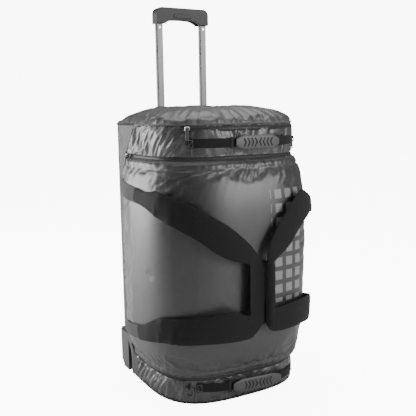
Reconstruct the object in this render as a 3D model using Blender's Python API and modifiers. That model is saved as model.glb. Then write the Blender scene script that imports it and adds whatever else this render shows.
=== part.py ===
"""Rolling duffel bag: a stiff wheeled back shell, fabric walls around a hollow
main compartment with a hinged lid, a pull-out handle, two carry handles that
meet in a wrap, end handles, zip sliders and two wheels.

Metres, +Z up, +Y towards the back shell, the bag standing on its wheel end.
"""
import math

import bmesh
import bpy
from mathutils import Matrix, Vector

# ---- overall sizes ---------------------------------------------------------
BAG_WIDTH = 0.398          # X, at the top and bottom rims
FRONT_DEPTH = 0.197        # from the bag's centre line forward, at the rims
BACK_DEPTH = 0.195         # from the centre line back to the shell's face
RIM_Z = 0.700              # upper edge of the top band
BASE_Z = 0.007             # underside of the bottom panel
UPPER_ZIP_Z = 0.620
LOWER_ZIP_Z = 0.073
TOP_CROWN = 0.040          # height of the soft top above its rim
SIDE_BULGE = 0.030         # how far the filled body swells past the rims
FRONT_BULGE = 0.040
FRONT_SQUARENESS = 3.2     # powers of the section's rounded outline
BACK_SQUARENESS = 7.0
BASE_TUCK = 0.038          # how far the back wall steps in at the ground, for tilting
BASE_TUCK_Z = 0.065

# ---- walls and seams ---------------------------------------------------------
FABRIC = 0.003
SHELL_WALL = 0.004
SEAM_GAP = 0.0012
ZIP_WIDTH = 0.0070
ZIP_THICK = 0.0014
ZIP_GAP = 0.0015
SHELL_EDGE = [             # (z, y) down the seam where the shell's side walls meet the fabric
    (0.000, 0.036), (0.100, 0.064), (0.130, 0.090), (0.180, 0.098), (0.300, 0.112),
    (0.500, 0.114), (0.560, 0.104), (0.620, 0.085), (0.700, 0.020)]
BEND_CLEARANCE = 0.0004    # rows of points keep this far from a bend of the seam
BULGE_END = 0.61           # radians behind the side, where the stiff shell ends the swelling
LID_CORNER_R = 0.055
LID_FAR_EDGE = 0.330       # girth from the front centre to the far zip run

# ---- wheels ---------------------------------------------------------------------
WHEEL_R = 0.048
WHEEL_WIDTH = 0.028
WHEEL_X = 0.172
WHEEL_Y = 0.150
TYRE_DEPTH = 0.010
BEARING_R = 0.011
BEARING_WIDTH = 0.006
AXLE_R = 0.004
RUNNING_GAP = 0.0001
PART_GAP = 0.0004
WHEEL_ROOM = 0.0025        # beside the wheel, in its well
WELL_ROOM = 0.008          # around the tread
CHEEK = 0.010

# ---- pull-out handle ----------------------------------------------------------------
TUBE_SPACING = 0.135
TUBE_Y = 0.138
TUBE_W = 0.020
TUBE_D = 0.012
TUBE_WALL = 0.0013
GUIDE_WALL = 0.0016
GUIDE_CLEAR = 0.0005
GUIDE_BOTTOM_Z = 0.130
TUBE_OVERLAP = 0.085       # length still inside the guides when pulled out
GRIP_LENGTH = 0.160
GRIP_HEIGHT = 0.043
GRIP_DEPTH = 0.032
GRIP_TOP_Z = 1.015
GRIP_ARCH = 0.012
BUTTON_LENGTH = 0.058
BUTTON_HEIGHT = 0.012

# ---- webbing and small hardware -------------------------------------------------------
ANCHOR_WIDTH = 0.040       # carry straps where they are sewn down
ARM_WIDTH = 0.062          # and across their soft arms
STRAP_THICK = 0.004
STRAP_LIFT = 0.006
UPPER_ANCHOR_Z = 0.530
LOWER_ANCHOR_Z = 0.138
WRAP_R = 0.015
WRAP_WALL = 0.004
END_WEB_WIDTH = 0.022
END_WEB_THICK = 0.003
END_GRIP_HEIGHT = 0.032
RING_R = 0.011
RING_WIRE = 0.0017

ZIP_MID = (UPPER_ZIP_Z + LOWER_ZIP_Z) / 2
ZIP_HALF = (UPPER_ZIP_Z - LOWER_ZIP_Z) / 2


# ---- set-up ---------------------------------------------------------------------------
for old in list(bpy.data.objects):
    bpy.data.objects.remove(old, do_unlink=True)
PARTS = bpy.data.collections.new("rolling_duffel_bag")
CUTTERS = bpy.data.collections.new("cutters")
bpy.context.scene.collection.children.link(PARTS)
bpy.context.scene.collection.children.link(CUTTERS)

FINISHES = {
    "tarpaulin": ((0.16, 0.16, 0.165), 0.42, 0.0),
    "dark_fabric": ((0.05, 0.05, 0.052), 0.8, 0.0),
    "webbing": ((0.045, 0.045, 0.047), 0.85, 0.0),
    "shell": ((0.17, 0.17, 0.175), 0.5, 0.0),
    "moulding": ((0.06, 0.06, 0.062), 0.5, 0.0),
    "rubber": ((0.035, 0.035, 0.036), 0.7, 0.0),
    "aluminium": ((0.55, 0.55, 0.56), 0.35, 1.0),
    "steel": ((0.5, 0.5, 0.5), 0.3, 1.0),
}


def material(name):
    found = bpy.data.materials.get(name)
    if found:
        return found
    colour, rough, metal = FINISHES[name]
    made = bpy.data.materials.new(name)
    made.use_nodes = True
    shader = made.node_tree.nodes["Principled BSDF"]
    shader.inputs["Base Color"].default_value = (*colour, 1.0)
    shader.inputs["Roughness"].default_value = rough
    shader.inputs["Metallic"].default_value = metal
    return made


def add_part(name, mesh, finish):
    mesh.name = name
    part = bpy.data.objects.new(name, mesh)
    PARTS.objects.link(part)
    mesh.materials.append(material(finish))
    mesh.shade_smooth()
    mesh.set_sharp_from_angle(angle=math.radians(35))
    return part


def bm_to_mesh(bm, name):
    bmesh.ops.recalc_face_normals(bm, faces=bm.faces)
    mesh = bpy.data.meshes.new(name)
    bm.to_mesh(mesh)
    bm.free()
    return mesh


def solidify(part, thickness):
    wall = part.modifiers.new("wall", "SOLIDIFY")
    wall.thickness = thickness
    wall.offset = -1.0
    wall.use_even_offset = True
    return part


def bevel(part, width, segments=2):
    round_off = part.modifiers.new("rounded", "BEVEL")
    round_off.width = width
    round_off.segments = segments
    round_off.limit_method = "ANGLE"
    return part


def cut(part, cutter, operation="DIFFERENCE"):
    step = part.modifiers.new("cut", "BOOLEAN")
    step.operation = operation
    step.object = cutter
    step.solver = "EXACT"
    return part


def make_cutter(part):
    """Takes a part out of the model and keeps it as a cutter."""
    PARTS.objects.unlink(part)
    CUTTERS.objects.link(part)
    part.hide_render = True
    part.display_type = "WIRE"
    return part


def box_mesh(name, low, high):
    bm = bmesh.new()
    bmesh.ops.create_cube(bm, size=1.0)
    low, high = Vector(low), Vector(high)
    size = high - low
    bmesh.ops.scale(bm, vec=size, verts=bm.verts)
    bmesh.ops.translate(bm, vec=(low + high) / 2, verts=bm.verts)
    return bm_to_mesh(bm, name)


def box(name, low, high, finish, rounding=0.0, segments=2):
    part = add_part(name, box_mesh(name, low, high), finish)
    if rounding:
        bevel(part, rounding, segments)
    return part


def box_cutter(name, low, high, rounding=0.0):
    return make_cutter(box(name, low, high, "moulding", rounding))


def rod_mesh(name, start, end, radius, sides=20):
    start, end = Vector(start), Vector(end)
    run = end - start
    bm = bmesh.new()
    bmesh.ops.create_cone(bm, cap_ends=True, segments=sides, radius1=radius,
                          radius2=radius, depth=run.length)
    turn = Vector((0, 0, 1)).rotation_difference(run).to_matrix().to_4x4()
    bmesh.ops.transform(bm, matrix=Matrix.Translation((start + end) / 2) @ turn, verts=bm.verts)
    return bm_to_mesh(bm, name)


def rod(name, start, end, radius, finish, sides=20):
    return add_part(name, rod_mesh(name, start, end, radius, sides), finish)


def ring_profile(name, profile, centre, steps, finish):
    """Turns a closed (axial, radius) profile, given clockwise, about an axis along X."""
    bm = bmesh.new()
    verts = [bm.verts.new((along, 0.0, radius)) for along, radius in reversed(profile)]
    for first, second in zip(verts, verts[1:] + verts[:1]):
        bm.edges.new((first, second))
    mesh = bpy.data.meshes.new(name)
    bm.to_mesh(mesh)
    bm.free()
    part = add_part(name, mesh, finish)
    part.location = centre
    turn = part.modifiers.new("turned", "SCREW")
    turn.axis = "X"
    turn.steps = steps
    turn.render_steps = steps
    turn.use_merge_vertices = True
    turn.merge_threshold = 0.00001
    return part


# ---- the body's skin -----------------------------------------------------------------------
def swell(z):
    """How full the body is at a height: 0 at the zips and past them, 1 half-way."""
    reach = min(abs(z - ZIP_MID) / ZIP_HALF, 1.0)
    return (1.0 - reach ** 4) ** 0.8


def section(angle, z):
    """Outline of the bag at a heading (radians, 0 along +X, front at -90 degrees)."""
    stiff = min(math.asin(max(math.sin(angle), 0.0)) / BULGE_END, 1.0)
    soft = 1.0 - stiff * stiff * (3.0 - 2.0 * stiff)
    across = BAG_WIDTH / 2 + SIDE_BULGE * swell(z) * soft
    if math.sin(angle) < 0:
        along, power = FRONT_DEPTH + FRONT_BULGE * swell(z), FRONT_SQUARENESS
    else:
        tuck = BASE_TUCK * max(1.0 - z / BASE_TUCK_Z, 0.0) ** 1.5
        along, power = BACK_DEPTH - tuck, BACK_SQUARENESS
    reach = ((abs(math.cos(angle)) / across) ** power
             + (abs(math.sin(angle)) / along) ** power) ** (-1.0 / power)
    return Vector((reach * math.cos(angle), reach * math.sin(angle), z))


def outward(angle, z):
    step = 0.004
    run = section(angle + step, z) - section(angle - step, z)
    return Vector((run.y, -run.x, 0.0)).normalized()


def on_section(angle, z, lift=0.0):
    return section(angle, z) + outward(angle, z) * lift


# Girth is measured along the full section from the front centre, towards +X.
GIRTH_STEPS = 900
GIRTH_TABLE = [(-math.pi / 2, 0.0)]
for index in range(1, GIRTH_STEPS + 1):
    heading = -math.pi / 2 + math.pi * index / GIRTH_STEPS
    earlier = section(GIRTH_TABLE[-1][0], ZIP_MID)
    run_length = (section(heading, ZIP_MID) - earlier).length
    GIRTH_TABLE.append((heading, GIRTH_TABLE[-1][1] + run_length))


def heading_at(girth):
    """Heading at a girth, from the table, the same to both sides of the front."""
    reach = abs(girth)
    low, high = 0, GIRTH_STEPS
    while high - low > 1:
        middle = (low + high) // 2
        if GIRTH_TABLE[middle][1] <= reach:
            low = middle
        else:
            high = middle
    (angle_a, girth_a), (angle_b, girth_b) = GIRTH_TABLE[low], GIRTH_TABLE[high]
    share = (reach - girth_a) / (girth_b - girth_a)
    angle = angle_a + share * (angle_b - angle_a)
    return angle if girth >= 0 else -math.pi - angle


def skin(girth, z, lift=0.0):
    return on_section(heading_at(girth), z, lift)


def girth_where(y):
    """Girth on the far side at which the full section reaches a given y."""
    for angle, girth in GIRTH_TABLE:
        if math.sin(angle) > 0 and section(angle, ZIP_MID).y >= y:
            return girth
    return GIRTH_TABLE[-1][1]


EDGE_TABLE = [(z, girth_where(y)) for z, y in SHELL_EDGE]


def edge_girth(z):
    """Girth of the shell's seam at a height."""
    for (low, first), (high, second) in zip(EDGE_TABLE, EDGE_TABLE[1:]):
        if z <= high:
            return first + (second - first) * (z - low) / (high - low)
    return EDGE_TABLE[-1][1]


def with_bends(heights):
    """Heights with the seam's own bends among them, so that panels meet along it."""
    low, high = heights[0], heights[-1]
    bends = [z for z, y in SHELL_EDGE if low < z < high]
    kept = [z for z in heights[1:-1] if all(abs(z - bend) > BEND_CLEARANCE for bend in bends)]
    return sorted([low, high] + kept + bends)


def sheet_mesh(name, rows):
    """An open sheet of quads through rows of points."""
    bm = bmesh.new()
    grid = [[bm.verts.new(point) for point in row] for row in rows]
    for lower, upper in zip(grid, grid[1:]):
        for i in range(len(lower) - 1):
            bm.faces.new((lower[i], lower[i + 1], upper[i + 1], upper[i]))
    mesh = bpy.data.meshes.new(name)
    bm.to_mesh(mesh)
    bm.free()
    return mesh


def spread(first, last, count):
    return [first + (last - first) * i / count for i in range(count + 1)]


# ---- fabric walls ------------------------------------------------------------------------------
ZIP_MARGIN = ZIP_WIDTH / 2 + ZIP_GAP
CORNER_GIRTH = LID_FAR_EDGE - LID_CORNER_R
CORNER_TURNS = spread(0, math.pi / 2, 6)
CORNER_SPAN = 0.030        # girth of the shell's rounded corner to each side of its middle


def make_lid():
    """Near side and front in one panel, hinged on the near shell seam."""
    radius = LID_CORNER_R - ZIP_MARGIN
    low, high = LOWER_ZIP_Z + ZIP_MARGIN, UPPER_ZIP_Z - ZIP_MARGIN
    rows = []
    for z in with_bends(spread(low, high, 12)):
        share = (z - low) / (high - low)
        row = [skin(girth, z) for girth in spread(-edge_girth(z) + SEAM_GAP, CORNER_GIRTH, 20)]
        for turn in CORNER_TURNS[1:]:
            drop = radius * (1 - math.cos(turn))
            row.append(skin(CORNER_GIRTH + radius * math.sin(turn),
                            low + drop + (high - low - 2 * drop) * share))
        rows.append(row)
    return solidify(add_part("lid", sheet_mesh("lid", rows), "tarpaulin"), FABRIC)


def make_far_side_panel():
    """From the far shell seam to the zip, whose rounded corners it fills out."""
    radius = LID_CORNER_R + ZIP_MARGIN
    low, high = LOWER_ZIP_Z - ZIP_MARGIN + SEAM_GAP, UPPER_ZIP_Z + ZIP_MARGIN - SEAM_GAP
    rise = [radius * (1 - math.cos(turn)) for turn in CORNER_TURNS[1:]]
    heights = [low] + [low + r for r in rise]
    heights += spread(low + radius, high - radius, 6)[1:-1]
    heights += [high - r for r in reversed(rise)] + [high]
    rows = []
    for z in with_bends(heights):
        past = max(low + radius - z, z - (high - radius), 0.0)
        first = CORNER_GIRTH + math.sqrt(max(radius ** 2 - past ** 2, 0.0))
        rows.append([skin(girth, z) for girth in spread(first, edge_girth(z) - SEAM_GAP, 8)])
    panel = add_part("far_side_panel", sheet_mesh("far_side_panel", rows), "tarpaulin")
    return solidify(panel, FABRIC)


def make_band(name, low, high):
    rows = []
    for z in with_bends(spread(low, high, 3)):
        reach = edge_girth(z) - SEAM_GAP
        rows.append([skin(girth, z) for girth in spread(-reach, reach, 30)])
    return solidify(add_part(name, sheet_mesh(name, rows), "tarpaulin"), FABRIC)


def rim_angles():
    """Headings round the whole rim, closer together at the corners."""
    reach = edge_girth(RIM_Z)
    near = [heading_at(g) for g in spread(-reach, reach, 24)]
    back = spread(near[-1], near[0] + 2 * math.pi, 14)[1:-1]
    return near + back


def make_end_panel(name, z, crown, shares, finish):
    """A closed end: rings of points shrink to the middle, crowned by a power law."""
    bm = bmesh.new()
    rings = []
    for share in shares:
        ring = []
        for angle in rim_angles():
            spot = section(angle, z)
            height = z + crown * (1 - share ** 4)
            ring.append(bm.verts.new((spot.x * share, spot.y * share, height)))
        rings.append(ring)
    for outer, inner in zip(rings, rings[1:]):
        for i in range(len(outer)):
            j = (i + 1) % len(outer)
            bm.faces.new((outer[i], outer[j], inner[j], inner[i]))
    middle = bm.verts.new((0.0, 0.0, z + crown))
    for i in range(len(rings[-1])):
        bm.faces.new((rings[-1][i], rings[-1][(i + 1) % len(rings[-1])], middle))
    mesh = bpy.data.meshes.new(name)
    bm.to_mesh(mesh)
    bm.free()
    return solidify(add_part(name, mesh, finish), FABRIC)


def make_back_shell():
    """Stiff tray: back wall and side walls in one moulding."""
    corner = next(girth for angle, girth in GIRTH_TABLE
                  if angle > math.atan2(BACK_DEPTH, BAG_WIDTH / 2))
    turn_in, turn_out = corner - CORNER_SPAN, corner + CORNER_SPAN
    rows = []
    heights = spread(BASE_Z + FABRIC + SEAM_GAP, BASE_TUCK_Z, 3)
    heights += spread(BASE_TUCK_Z, RIM_Z - SEAM_GAP, 8)[1:]
    for z in with_bends(heights):
        half = spread(edge_girth(z), turn_in, 3) + spread(turn_in, turn_out, 6)[1:]
        half += spread(turn_out, GIRTH_TABLE[-1][1], 3)[1:]
        far = [skin(girth, z) for girth in half]
        near = [Vector((-spot.x, spot.y, spot.z)) for spot in reversed(far[:-1])]
        rows.append(far + near)
    shell = add_part("back_shell", sheet_mesh("back_shell", rows), "shell")
    return solidify(shell, SHELL_WALL)


def zip_path(step=0.018):
    """(girth, z) points down the middle of the main zip, from the near top end."""
    r = LID_CORNER_R
    turn_x = LID_FAR_EDGE - r
    start = -edge_girth(UPPER_ZIP_Z + ZIP_MARGIN) + SEAM_GAP
    path = [(g, UPPER_ZIP_Z) for g in spread(start, turn_x, int((turn_x - start) / step))]
    path += [(turn_x + r * math.sin(t), UPPER_ZIP_Z - r + r * math.cos(t))
             for t in CORNER_TURNS[1:]]
    low = LOWER_ZIP_Z + r
    path += [(LID_FAR_EDGE, z) for z in spread(UPPER_ZIP_Z - r, low, 10)[1:]]
    path += [(turn_x + r * math.cos(t), low - r * math.sin(t))
             for t in CORNER_TURNS[1:]]
    start = -edge_girth(LOWER_ZIP_Z - ZIP_MARGIN) + SEAM_GAP
    path += [(g, LOWER_ZIP_Z) for g in spread(turn_x, start, int((turn_x - start) / step))[1:]]
    return path


def ribbon(name, path, widths, lifts, thickness, finish):
    """A flat tape that follows (girth, z) points on the skin, lying at given lifts."""
    rows = []
    for i, (girth, z) in enumerate(path):
        before, after = path[max(i - 1, 0)], path[min(i + 1, len(path) - 1)]
        run = Vector((after[0] - before[0], after[1] - before[1])).normalized()
        half = widths[i] / 2
        side_a = skin(girth - run.y * half, z + run.x * half, lifts[i])
        side_b = skin(girth + run.y * half, z - run.x * half, lifts[i])
        rows.append([side_a, side_b])
    tape = add_part(name, sheet_mesh(name, rows), finish)
    wall = solidify(tape, thickness)
    return wall


def skin_frame(girth, z):
    """Point on the skin with its outward and +girth directions."""
    angle = heading_at(girth)
    away = outward(angle, z)
    return section(angle, z), away, Vector((0, 0, 1)).cross(away)


def smooth_path(stations, per_gap):
    """Catmull-Rom through stations of equal-length number tuples."""
    points = []
    for i in range(len(stations) - 1):
        before = stations[max(i - 1, 0)]
        first, second = stations[i], stations[i + 1]
        after = stations[min(i + 2, len(stations) - 1)]
        for k in range(per_gap):
            t = k / per_gap
            point = []
            for p, a, b, n in zip(before, first, second, after):
                point.append(0.5 * (2 * a + (b - p) * t + (2 * p - 5 * a + 4 * b - n) * t * t
                                    + (3 * a - p - 3 * b + n) * t ** 3))
            points.append(tuple(point))
    points.append(tuple(stations[-1]))
    return points


def ribbon_on(name, stations, per_gap, thickness, finish):
    """A ribbon from stations of (girth, z, lift, width)."""
    points = smooth_path(stations, per_gap)
    path = [(girth, z) for girth, z, _, _ in points]
    lifts = [point[2] for point in points]
    widths = [point[3] for point in points]
    return ribbon(name, path, widths, lifts, thickness, finish)


def outline_plate(name, outline, low, high, finish, across="Z"):
    """A flat outline given thickness along Z, or along X for a (y, z) outline."""
    curve = bpy.data.curves.new(name, "CURVE")
    curve.dimensions = "2D"
    curve.fill_mode = "BOTH"
    curve.extrude = (high - low) / 2
    spline = curve.splines.new("POLY")
    spline.points.add(len(outline) - 1)
    for point, (u, v) in zip(spline.points, outline):
        point.co = (u, v, 0.0, 1.0)
    spline.use_cyclic_u = True
    holder = bpy.data.objects.new(name + "_outline", curve)
    PARTS.objects.link(holder)
    bpy.context.view_layer.update()
    evaluated = holder.evaluated_get(bpy.context.evaluated_depsgraph_get())
    mesh = bpy.data.meshes.new_from_object(evaluated)
    bpy.data.objects.remove(holder, do_unlink=True)
    bm = bmesh.new()
    bm.from_mesh(mesh)
    bmesh.ops.remove_doubles(bm, verts=bm.verts, dist=0.00001)
    bmesh.ops.translate(bm, vec=(0, 0, (low + high) / 2), verts=bm.verts)
    if across == "X":
        # (u, v, w) becomes (w, u, v)
        bmesh.ops.transform(bm, verts=bm.verts,
                            matrix=Matrix(((0, 0, 1, 0), (1, 0, 0, 0), (0, 1, 0, 0), (0, 0, 0, 1))))
    if across == "Y":
        # (u, v, w) becomes (u, -w, v)
        bmesh.ops.transform(bm, verts=bm.verts,
                            matrix=Matrix(((1, 0, 0, 0), (0, 0, -1, 0), (0, 1, 0, 0), (0, 0, 0, 1))))
    bmesh.ops.recalc_face_normals(bm, faces=bm.faces)
    bm.to_mesh(mesh)
    bm.free()
    mesh.materials.clear()
    return add_part(name, mesh, finish)


def arc(centre, radius, start, end, count):
    """Points of an arc, in degrees."""
    return [(centre[0] + radius * math.cos(math.radians(a)),
             centre[1] + radius * math.sin(math.radians(a))) for a in spread(start, end, count)]


# ---- walls, panels and zips ---------------------------------------------------------------------
make_lid()
make_far_side_panel()
make_band("top_band", UPPER_ZIP_Z + ZIP_MARGIN, RIM_Z - SEAM_GAP / 2)
make_band("bottom_band", BASE_Z + FABRIC + SEAM_GAP, LOWER_ZIP_Z - ZIP_MARGIN)
TOP_PANEL = make_end_panel("top_panel", RIM_Z + FABRIC, TOP_CROWN, (1.0, 0.94, 0.82, 0.62, 0.36),
                           "tarpaulin")
BOTTOM_PANEL = make_end_panel("bottom_panel", BASE_Z + FABRIC, 0.0, (1.0, 0.5), "dark_fabric")
BACK_SHELL = make_back_shell()

ZIP_ROUTE = zip_path()
ribbon("main_zip_tape", ZIP_ROUTE, [ZIP_WIDTH] * len(ZIP_ROUTE), [0.0] * len(ZIP_ROUTE),
       ZIP_THICK, "dark_fabric")

POCKET_ZIP_Z = RIM_Z - 0.009
POCKET_ZIP_START = -0.185
POCKET_ZIP_END = 0.205
TAPE_LIFT = ZIP_THICK + 0.0012
ribbon_on("pocket_zip_tape",
          [(g, POCKET_ZIP_Z, TAPE_LIFT, 0.011)
           for g in spread(POCKET_ZIP_START, POCKET_ZIP_END, 26)],
          1, ZIP_THICK, "dark_fabric")


# ---- zip sliders and pulls -----------------------------------------------------------------------
SLIDER_LENGTH = 0.012
SLIDER_HEIGHT = 0.009
SLIDER_DEPTH = 0.005
PULL_LENGTH = 0.030
PULL_WIDTH = 0.008
PULL_THICK = 0.002
SLIDER_INSET = 0.030       # from the shell seam
POCKET_SLIDER_GIRTH = POCKET_ZIP_START + 0.008


def oriented_box(name, spot, away, along, size, finish, lean=0.0, rounding=0.0008):
    """A box of size (along, away, up) whose top middle sits at a spot, leaning outwards."""
    down = Vector((0, 0, -1))
    tilt = Matrix.Rotation(-lean, 3, along)
    down, face = tilt @ down, tilt @ away
    half = Vector(size) / 2
    mesh = box_mesh(name, -half, half)
    part = add_part(name, mesh, finish)
    centre = spot + down * half.z
    part.matrix_world = Matrix((
        (along.x, face.x, -down.x, centre.x),
        (along.y, face.y, -down.y, centre.y),
        (along.z, face.z, -down.z, centre.z),
        (0, 0, 0, 1)))
    if rounding:
        bevel(part, rounding, 1)
    return part


def make_slider(name, girth, z, lift, lean):
    """Slider body over the tape and its hanging pull."""
    point, away, along = skin_frame(girth, z)
    top = point + away * (lift + SLIDER_DEPTH / 2)
    oriented_box(name + "_slider", top + Vector((0, 0, SLIDER_HEIGHT)), away, along,
                 (SLIDER_LENGTH, SLIDER_DEPTH, SLIDER_HEIGHT), "steel")
    pivot = point + away * (lift + SLIDER_DEPTH + PART_GAP + PULL_THICK / 2)
    pivot.z = z + SLIDER_HEIGHT * 0.7
    oriented_box(name + "_pull", pivot, away, along, (PULL_WIDTH, PULL_THICK, PULL_LENGTH),
                 "moulding", lean)


MAIN_SLIDER_LIFT = 0.0046
UPPER_PULL_LEAN = math.radians(12)
make_slider("upper_zip", SLIDER_INSET - edge_girth(UPPER_ZIP_Z), UPPER_ZIP_Z - ZIP_WIDTH / 2,
            MAIN_SLIDER_LIFT, UPPER_PULL_LEAN)
make_slider("lower_zip", SLIDER_INSET - edge_girth(LOWER_ZIP_Z), LOWER_ZIP_Z - ZIP_WIDTH / 2,
            MAIN_SLIDER_LIFT, 0.0)
make_slider("pocket_zip", POCKET_SLIDER_GIRTH, POCKET_ZIP_Z - ZIP_WIDTH / 2,
            TAPE_LIFT + PART_GAP + 0.0006, 0.0)


# ---- wheels ------------------------------------------------------------------------------------------
WELL_R = WHEEL_R + WELL_ROOM
HOUSING_INNER_X = WHEEL_X - WHEEL_WIDTH / 2 - WHEEL_ROOM - CHEEK * 0.55
HOUSING_OUTER_X = BAG_WIDTH / 2
HOUSING_TOP_Z = WHEEL_R + WELL_R + 0.010
HOUSING_FRONT_Y = WHEEL_Y - WELL_R - 0.012
HOUSING_BACK_Y = BACK_DEPTH - 0.003
HOUSING_CHAMFER_Z = 0.050
FENDER_FRONT_Y = 0.115
FENDER_BACK_Y = WHEEL_Y + 0.018


def housing_outline():
    """Side view (y, z), cut away behind the wheel so that it can roll when tilted."""
    low, top = BASE_Z - 0.001, HOUSING_TOP_Z
    front, back = HOUSING_FRONT_Y, HOUSING_BACK_Y
    rounding = 0.010
    return ([(front, low), (WHEEL_Y, low), (back, HOUSING_CHAMFER_Z)]
            + arc((back - rounding, top - rounding), rounding, 0, 90, 4) + [(front, top)])


def on_side(side, first, last):
    """X limits on the near (-1) or far (+1) side, in rising order."""
    return min(side * first, side * last), max(side * first, side * last)


def make_wheel_corner(word, side):
    low, high = on_side(side, HOUSING_INNER_X, HOUSING_OUTER_X)
    housing = outline_plate(f"{word}_wheel_housing", housing_outline(), low, high, "shell", "X")
    slot_low, slot_high = on_side(side, WHEEL_X - WHEEL_WIDTH / 2 - WHEEL_ROOM,
                                  WHEEL_X + WHEEL_WIDTH / 2 + WHEEL_ROOM)
    well = arc((WHEEL_Y, WHEEL_R), WELL_R, 180, 40, 14)
    well += [(HOUSING_BACK_Y + 0.02, WHEEL_R + WELL_R * math.sin(math.radians(40))),
             (HOUSING_BACK_Y + 0.02, -0.02), (WHEEL_Y - WELL_R, -0.02)]
    cut(housing, make_cutter(outline_plate(f"{word}_well", well, slot_low, slot_high,
                                           "moulding", "X")))
    # the outer cheek keeps only a fender between these two cuts
    lip_r = WELL_R + 0.002
    window_top = math.degrees(math.acos((FENDER_FRONT_Y - WHEEL_Y) / lip_r))
    window = arc((WHEEL_Y, WHEEL_R), lip_r, 180, window_top, 6)
    window += [(FENDER_FRONT_Y, -0.021), (WHEEL_Y - lip_r, -0.021)]
    cheek_low, cheek_high = on_side(side, WHEEL_X + WHEEL_WIDTH / 2 + WHEEL_ROOM - 0.001,
                                    HOUSING_OUTER_X + 0.01)
    cut(housing, make_cutter(outline_plate(f"{word}_window", window, cheek_low, cheek_high,
                                           "moulding", "X")))
    rear_low, rear_high = on_side(side, WHEEL_X + WHEEL_WIDTH / 2 + WHEEL_ROOM + 0.0005,
                                  HOUSING_OUTER_X + 0.01)
    cut(housing, box_cutter(f"{word}_rear", (rear_low, FENDER_BACK_Y, -0.01),
                            (rear_high, HOUSING_BACK_Y + 0.01, HOUSING_TOP_Z + 0.01)))
    axle_in, axle_out = side * (HOUSING_INNER_X + 0.001), side * (HOUSING_OUTER_X - 0.0025)
    bore_in = side * (HOUSING_INNER_X - 0.01)
    bore = add_part(f"{word}_axle_bore",
                    rod_mesh("bore", (bore_in, WHEEL_Y, WHEEL_R),
                             (axle_out + side * 0.0005, WHEEL_Y, WHEEL_R), AXLE_R + PART_GAP),
                    "steel")
    cut(housing, make_cutter(bore))
    # the housing's seat in the shell and in the base
    gap = 0.0006
    room_low, room_high = on_side(side, HOUSING_INNER_X - gap, HOUSING_OUTER_X + 0.03)
    room = box_cutter(f"{word}_corner_room", (room_low, HOUSING_FRONT_Y - gap, -0.02),
                      (room_high, BACK_DEPTH + 0.03, HOUSING_TOP_Z + gap))
    cut(BACK_SHELL, room)
    cut(BOTTOM_PANEL, room)

    rod(f"{word}_axle", (axle_in, WHEEL_Y, WHEEL_R), (axle_out, WHEEL_Y, WHEEL_R), AXLE_R,
        "steel", 24)
    centre = (side * WHEEL_X, WHEEL_Y, WHEEL_R)
    half, crown = WHEEL_WIDTH / 2, 0.003
    seat = WHEEL_R - TYRE_DEPTH
    ring_profile(f"{word}_tyre",
                 [(-half + crown, WHEEL_R - 0.001), (0.0, WHEEL_R), (half - crown, WHEEL_R - 0.001),
                  (half, WHEEL_R - crown - 0.001), (half, seat), (-half, seat),
                  (-half, WHEEL_R - crown - 0.001)],
                 centre, 32, "rubber")
    rim, web = half - 0.001, half * 0.45
    boss = BEARING_R + 0.005
    hub_top = seat - PART_GAP
    ring_profile(f"{word}_hub",
                 [(-rim, hub_top), (rim, hub_top), (rim, hub_top - 0.004), (web, hub_top - 0.005),
                  (web, boss), (rim, boss), (rim, BEARING_R + PART_GAP),
                  (-rim, BEARING_R + PART_GAP), (-rim, boss), (-web, boss),
                  (-web, hub_top - 0.005), (-rim, hub_top - 0.004)],
                 centre, 24, "moulding")
    for place, end in (("inner", -side), ("outer", side)):
        middle = side * WHEEL_X + end * (rim - BEARING_WIDTH / 2)
        add_part(f"{word}_{place}_bearing",
                 tube_mesh("bearing", middle - BEARING_WIDTH / 2, middle + BEARING_WIDTH / 2,
                           BEARING_R, AXLE_R + RUNNING_GAP), "steel")


def tube_mesh(name, low_x, high_x, outer, inner, sides=16):
    """A plain ring along X at the wheel axle, closed, from an extruded annulus."""
    bm = bmesh.new()
    loops = []
    for x, radius in ((low_x, outer), (high_x, outer), (high_x, inner), (low_x, inner)):
        loops.append([bm.verts.new((x, WHEEL_Y + radius * math.cos(2 * math.pi * i / sides),
                                    WHEEL_R + radius * math.sin(2 * math.pi * i / sides)))
                      for i in range(sides)])
    for first, second in zip(loops, loops[1:] + loops[:1]):
        for i in range(sides):
            j = (i + 1) % sides
            bm.faces.new((first[i], first[j], second[j], second[i]))
    return bm_to_mesh(bm, name)


make_wheel_corner("near", -1)
make_wheel_corner("far", 1)


# ---- pull-out handle and its guides ---------------------------------------------------------------------
BEZEL_TOP_Z = RIM_Z + TOP_CROWN + 0.001
BEZEL_BOTTOM_Z = BEZEL_TOP_Z - 0.026
COLLAR_HEIGHT = 0.006
COLLAR_WALL = 0.0035
GUIDE_TOP_Z = BEZEL_BOTTOM_Z - PART_GAP
GUIDE_W = TUBE_W + 2 * (GUIDE_CLEAR + GUIDE_WALL)
GUIDE_D = TUBE_D + 2 * (GUIDE_CLEAR + GUIDE_WALL)
GRIP_BOTTOM_Z = GRIP_TOP_Z - GRIP_HEIGHT
TUBE_TOP_Z = GRIP_TOP_Z - 0.034
TUBE_BOTTOM_Z = GUIDE_TOP_Z - TUBE_OVERLAP


def square_tube(name, x, outer_w, outer_d, wall, low_z, high_z, finish, rounding=0.002):
    tube = box(name, (x - outer_w / 2, TUBE_Y - outer_d / 2, low_z),
               (x + outer_w / 2, TUBE_Y + outer_d / 2, high_z), finish)
    tube.modifiers.clear()
    round_corners(tube, rounding)
    inner_w, inner_d = outer_w / 2 - wall, outer_d / 2 - wall
    bore = box(name + "_bore", (x - inner_w, TUBE_Y - inner_d, low_z - 0.01),
               (x + inner_w, TUBE_Y + inner_d, high_z + 0.01), "moulding")
    round_corners(bore, max(rounding - wall, 0.0006))
    return cut(tube, make_cutter(bore))


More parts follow.
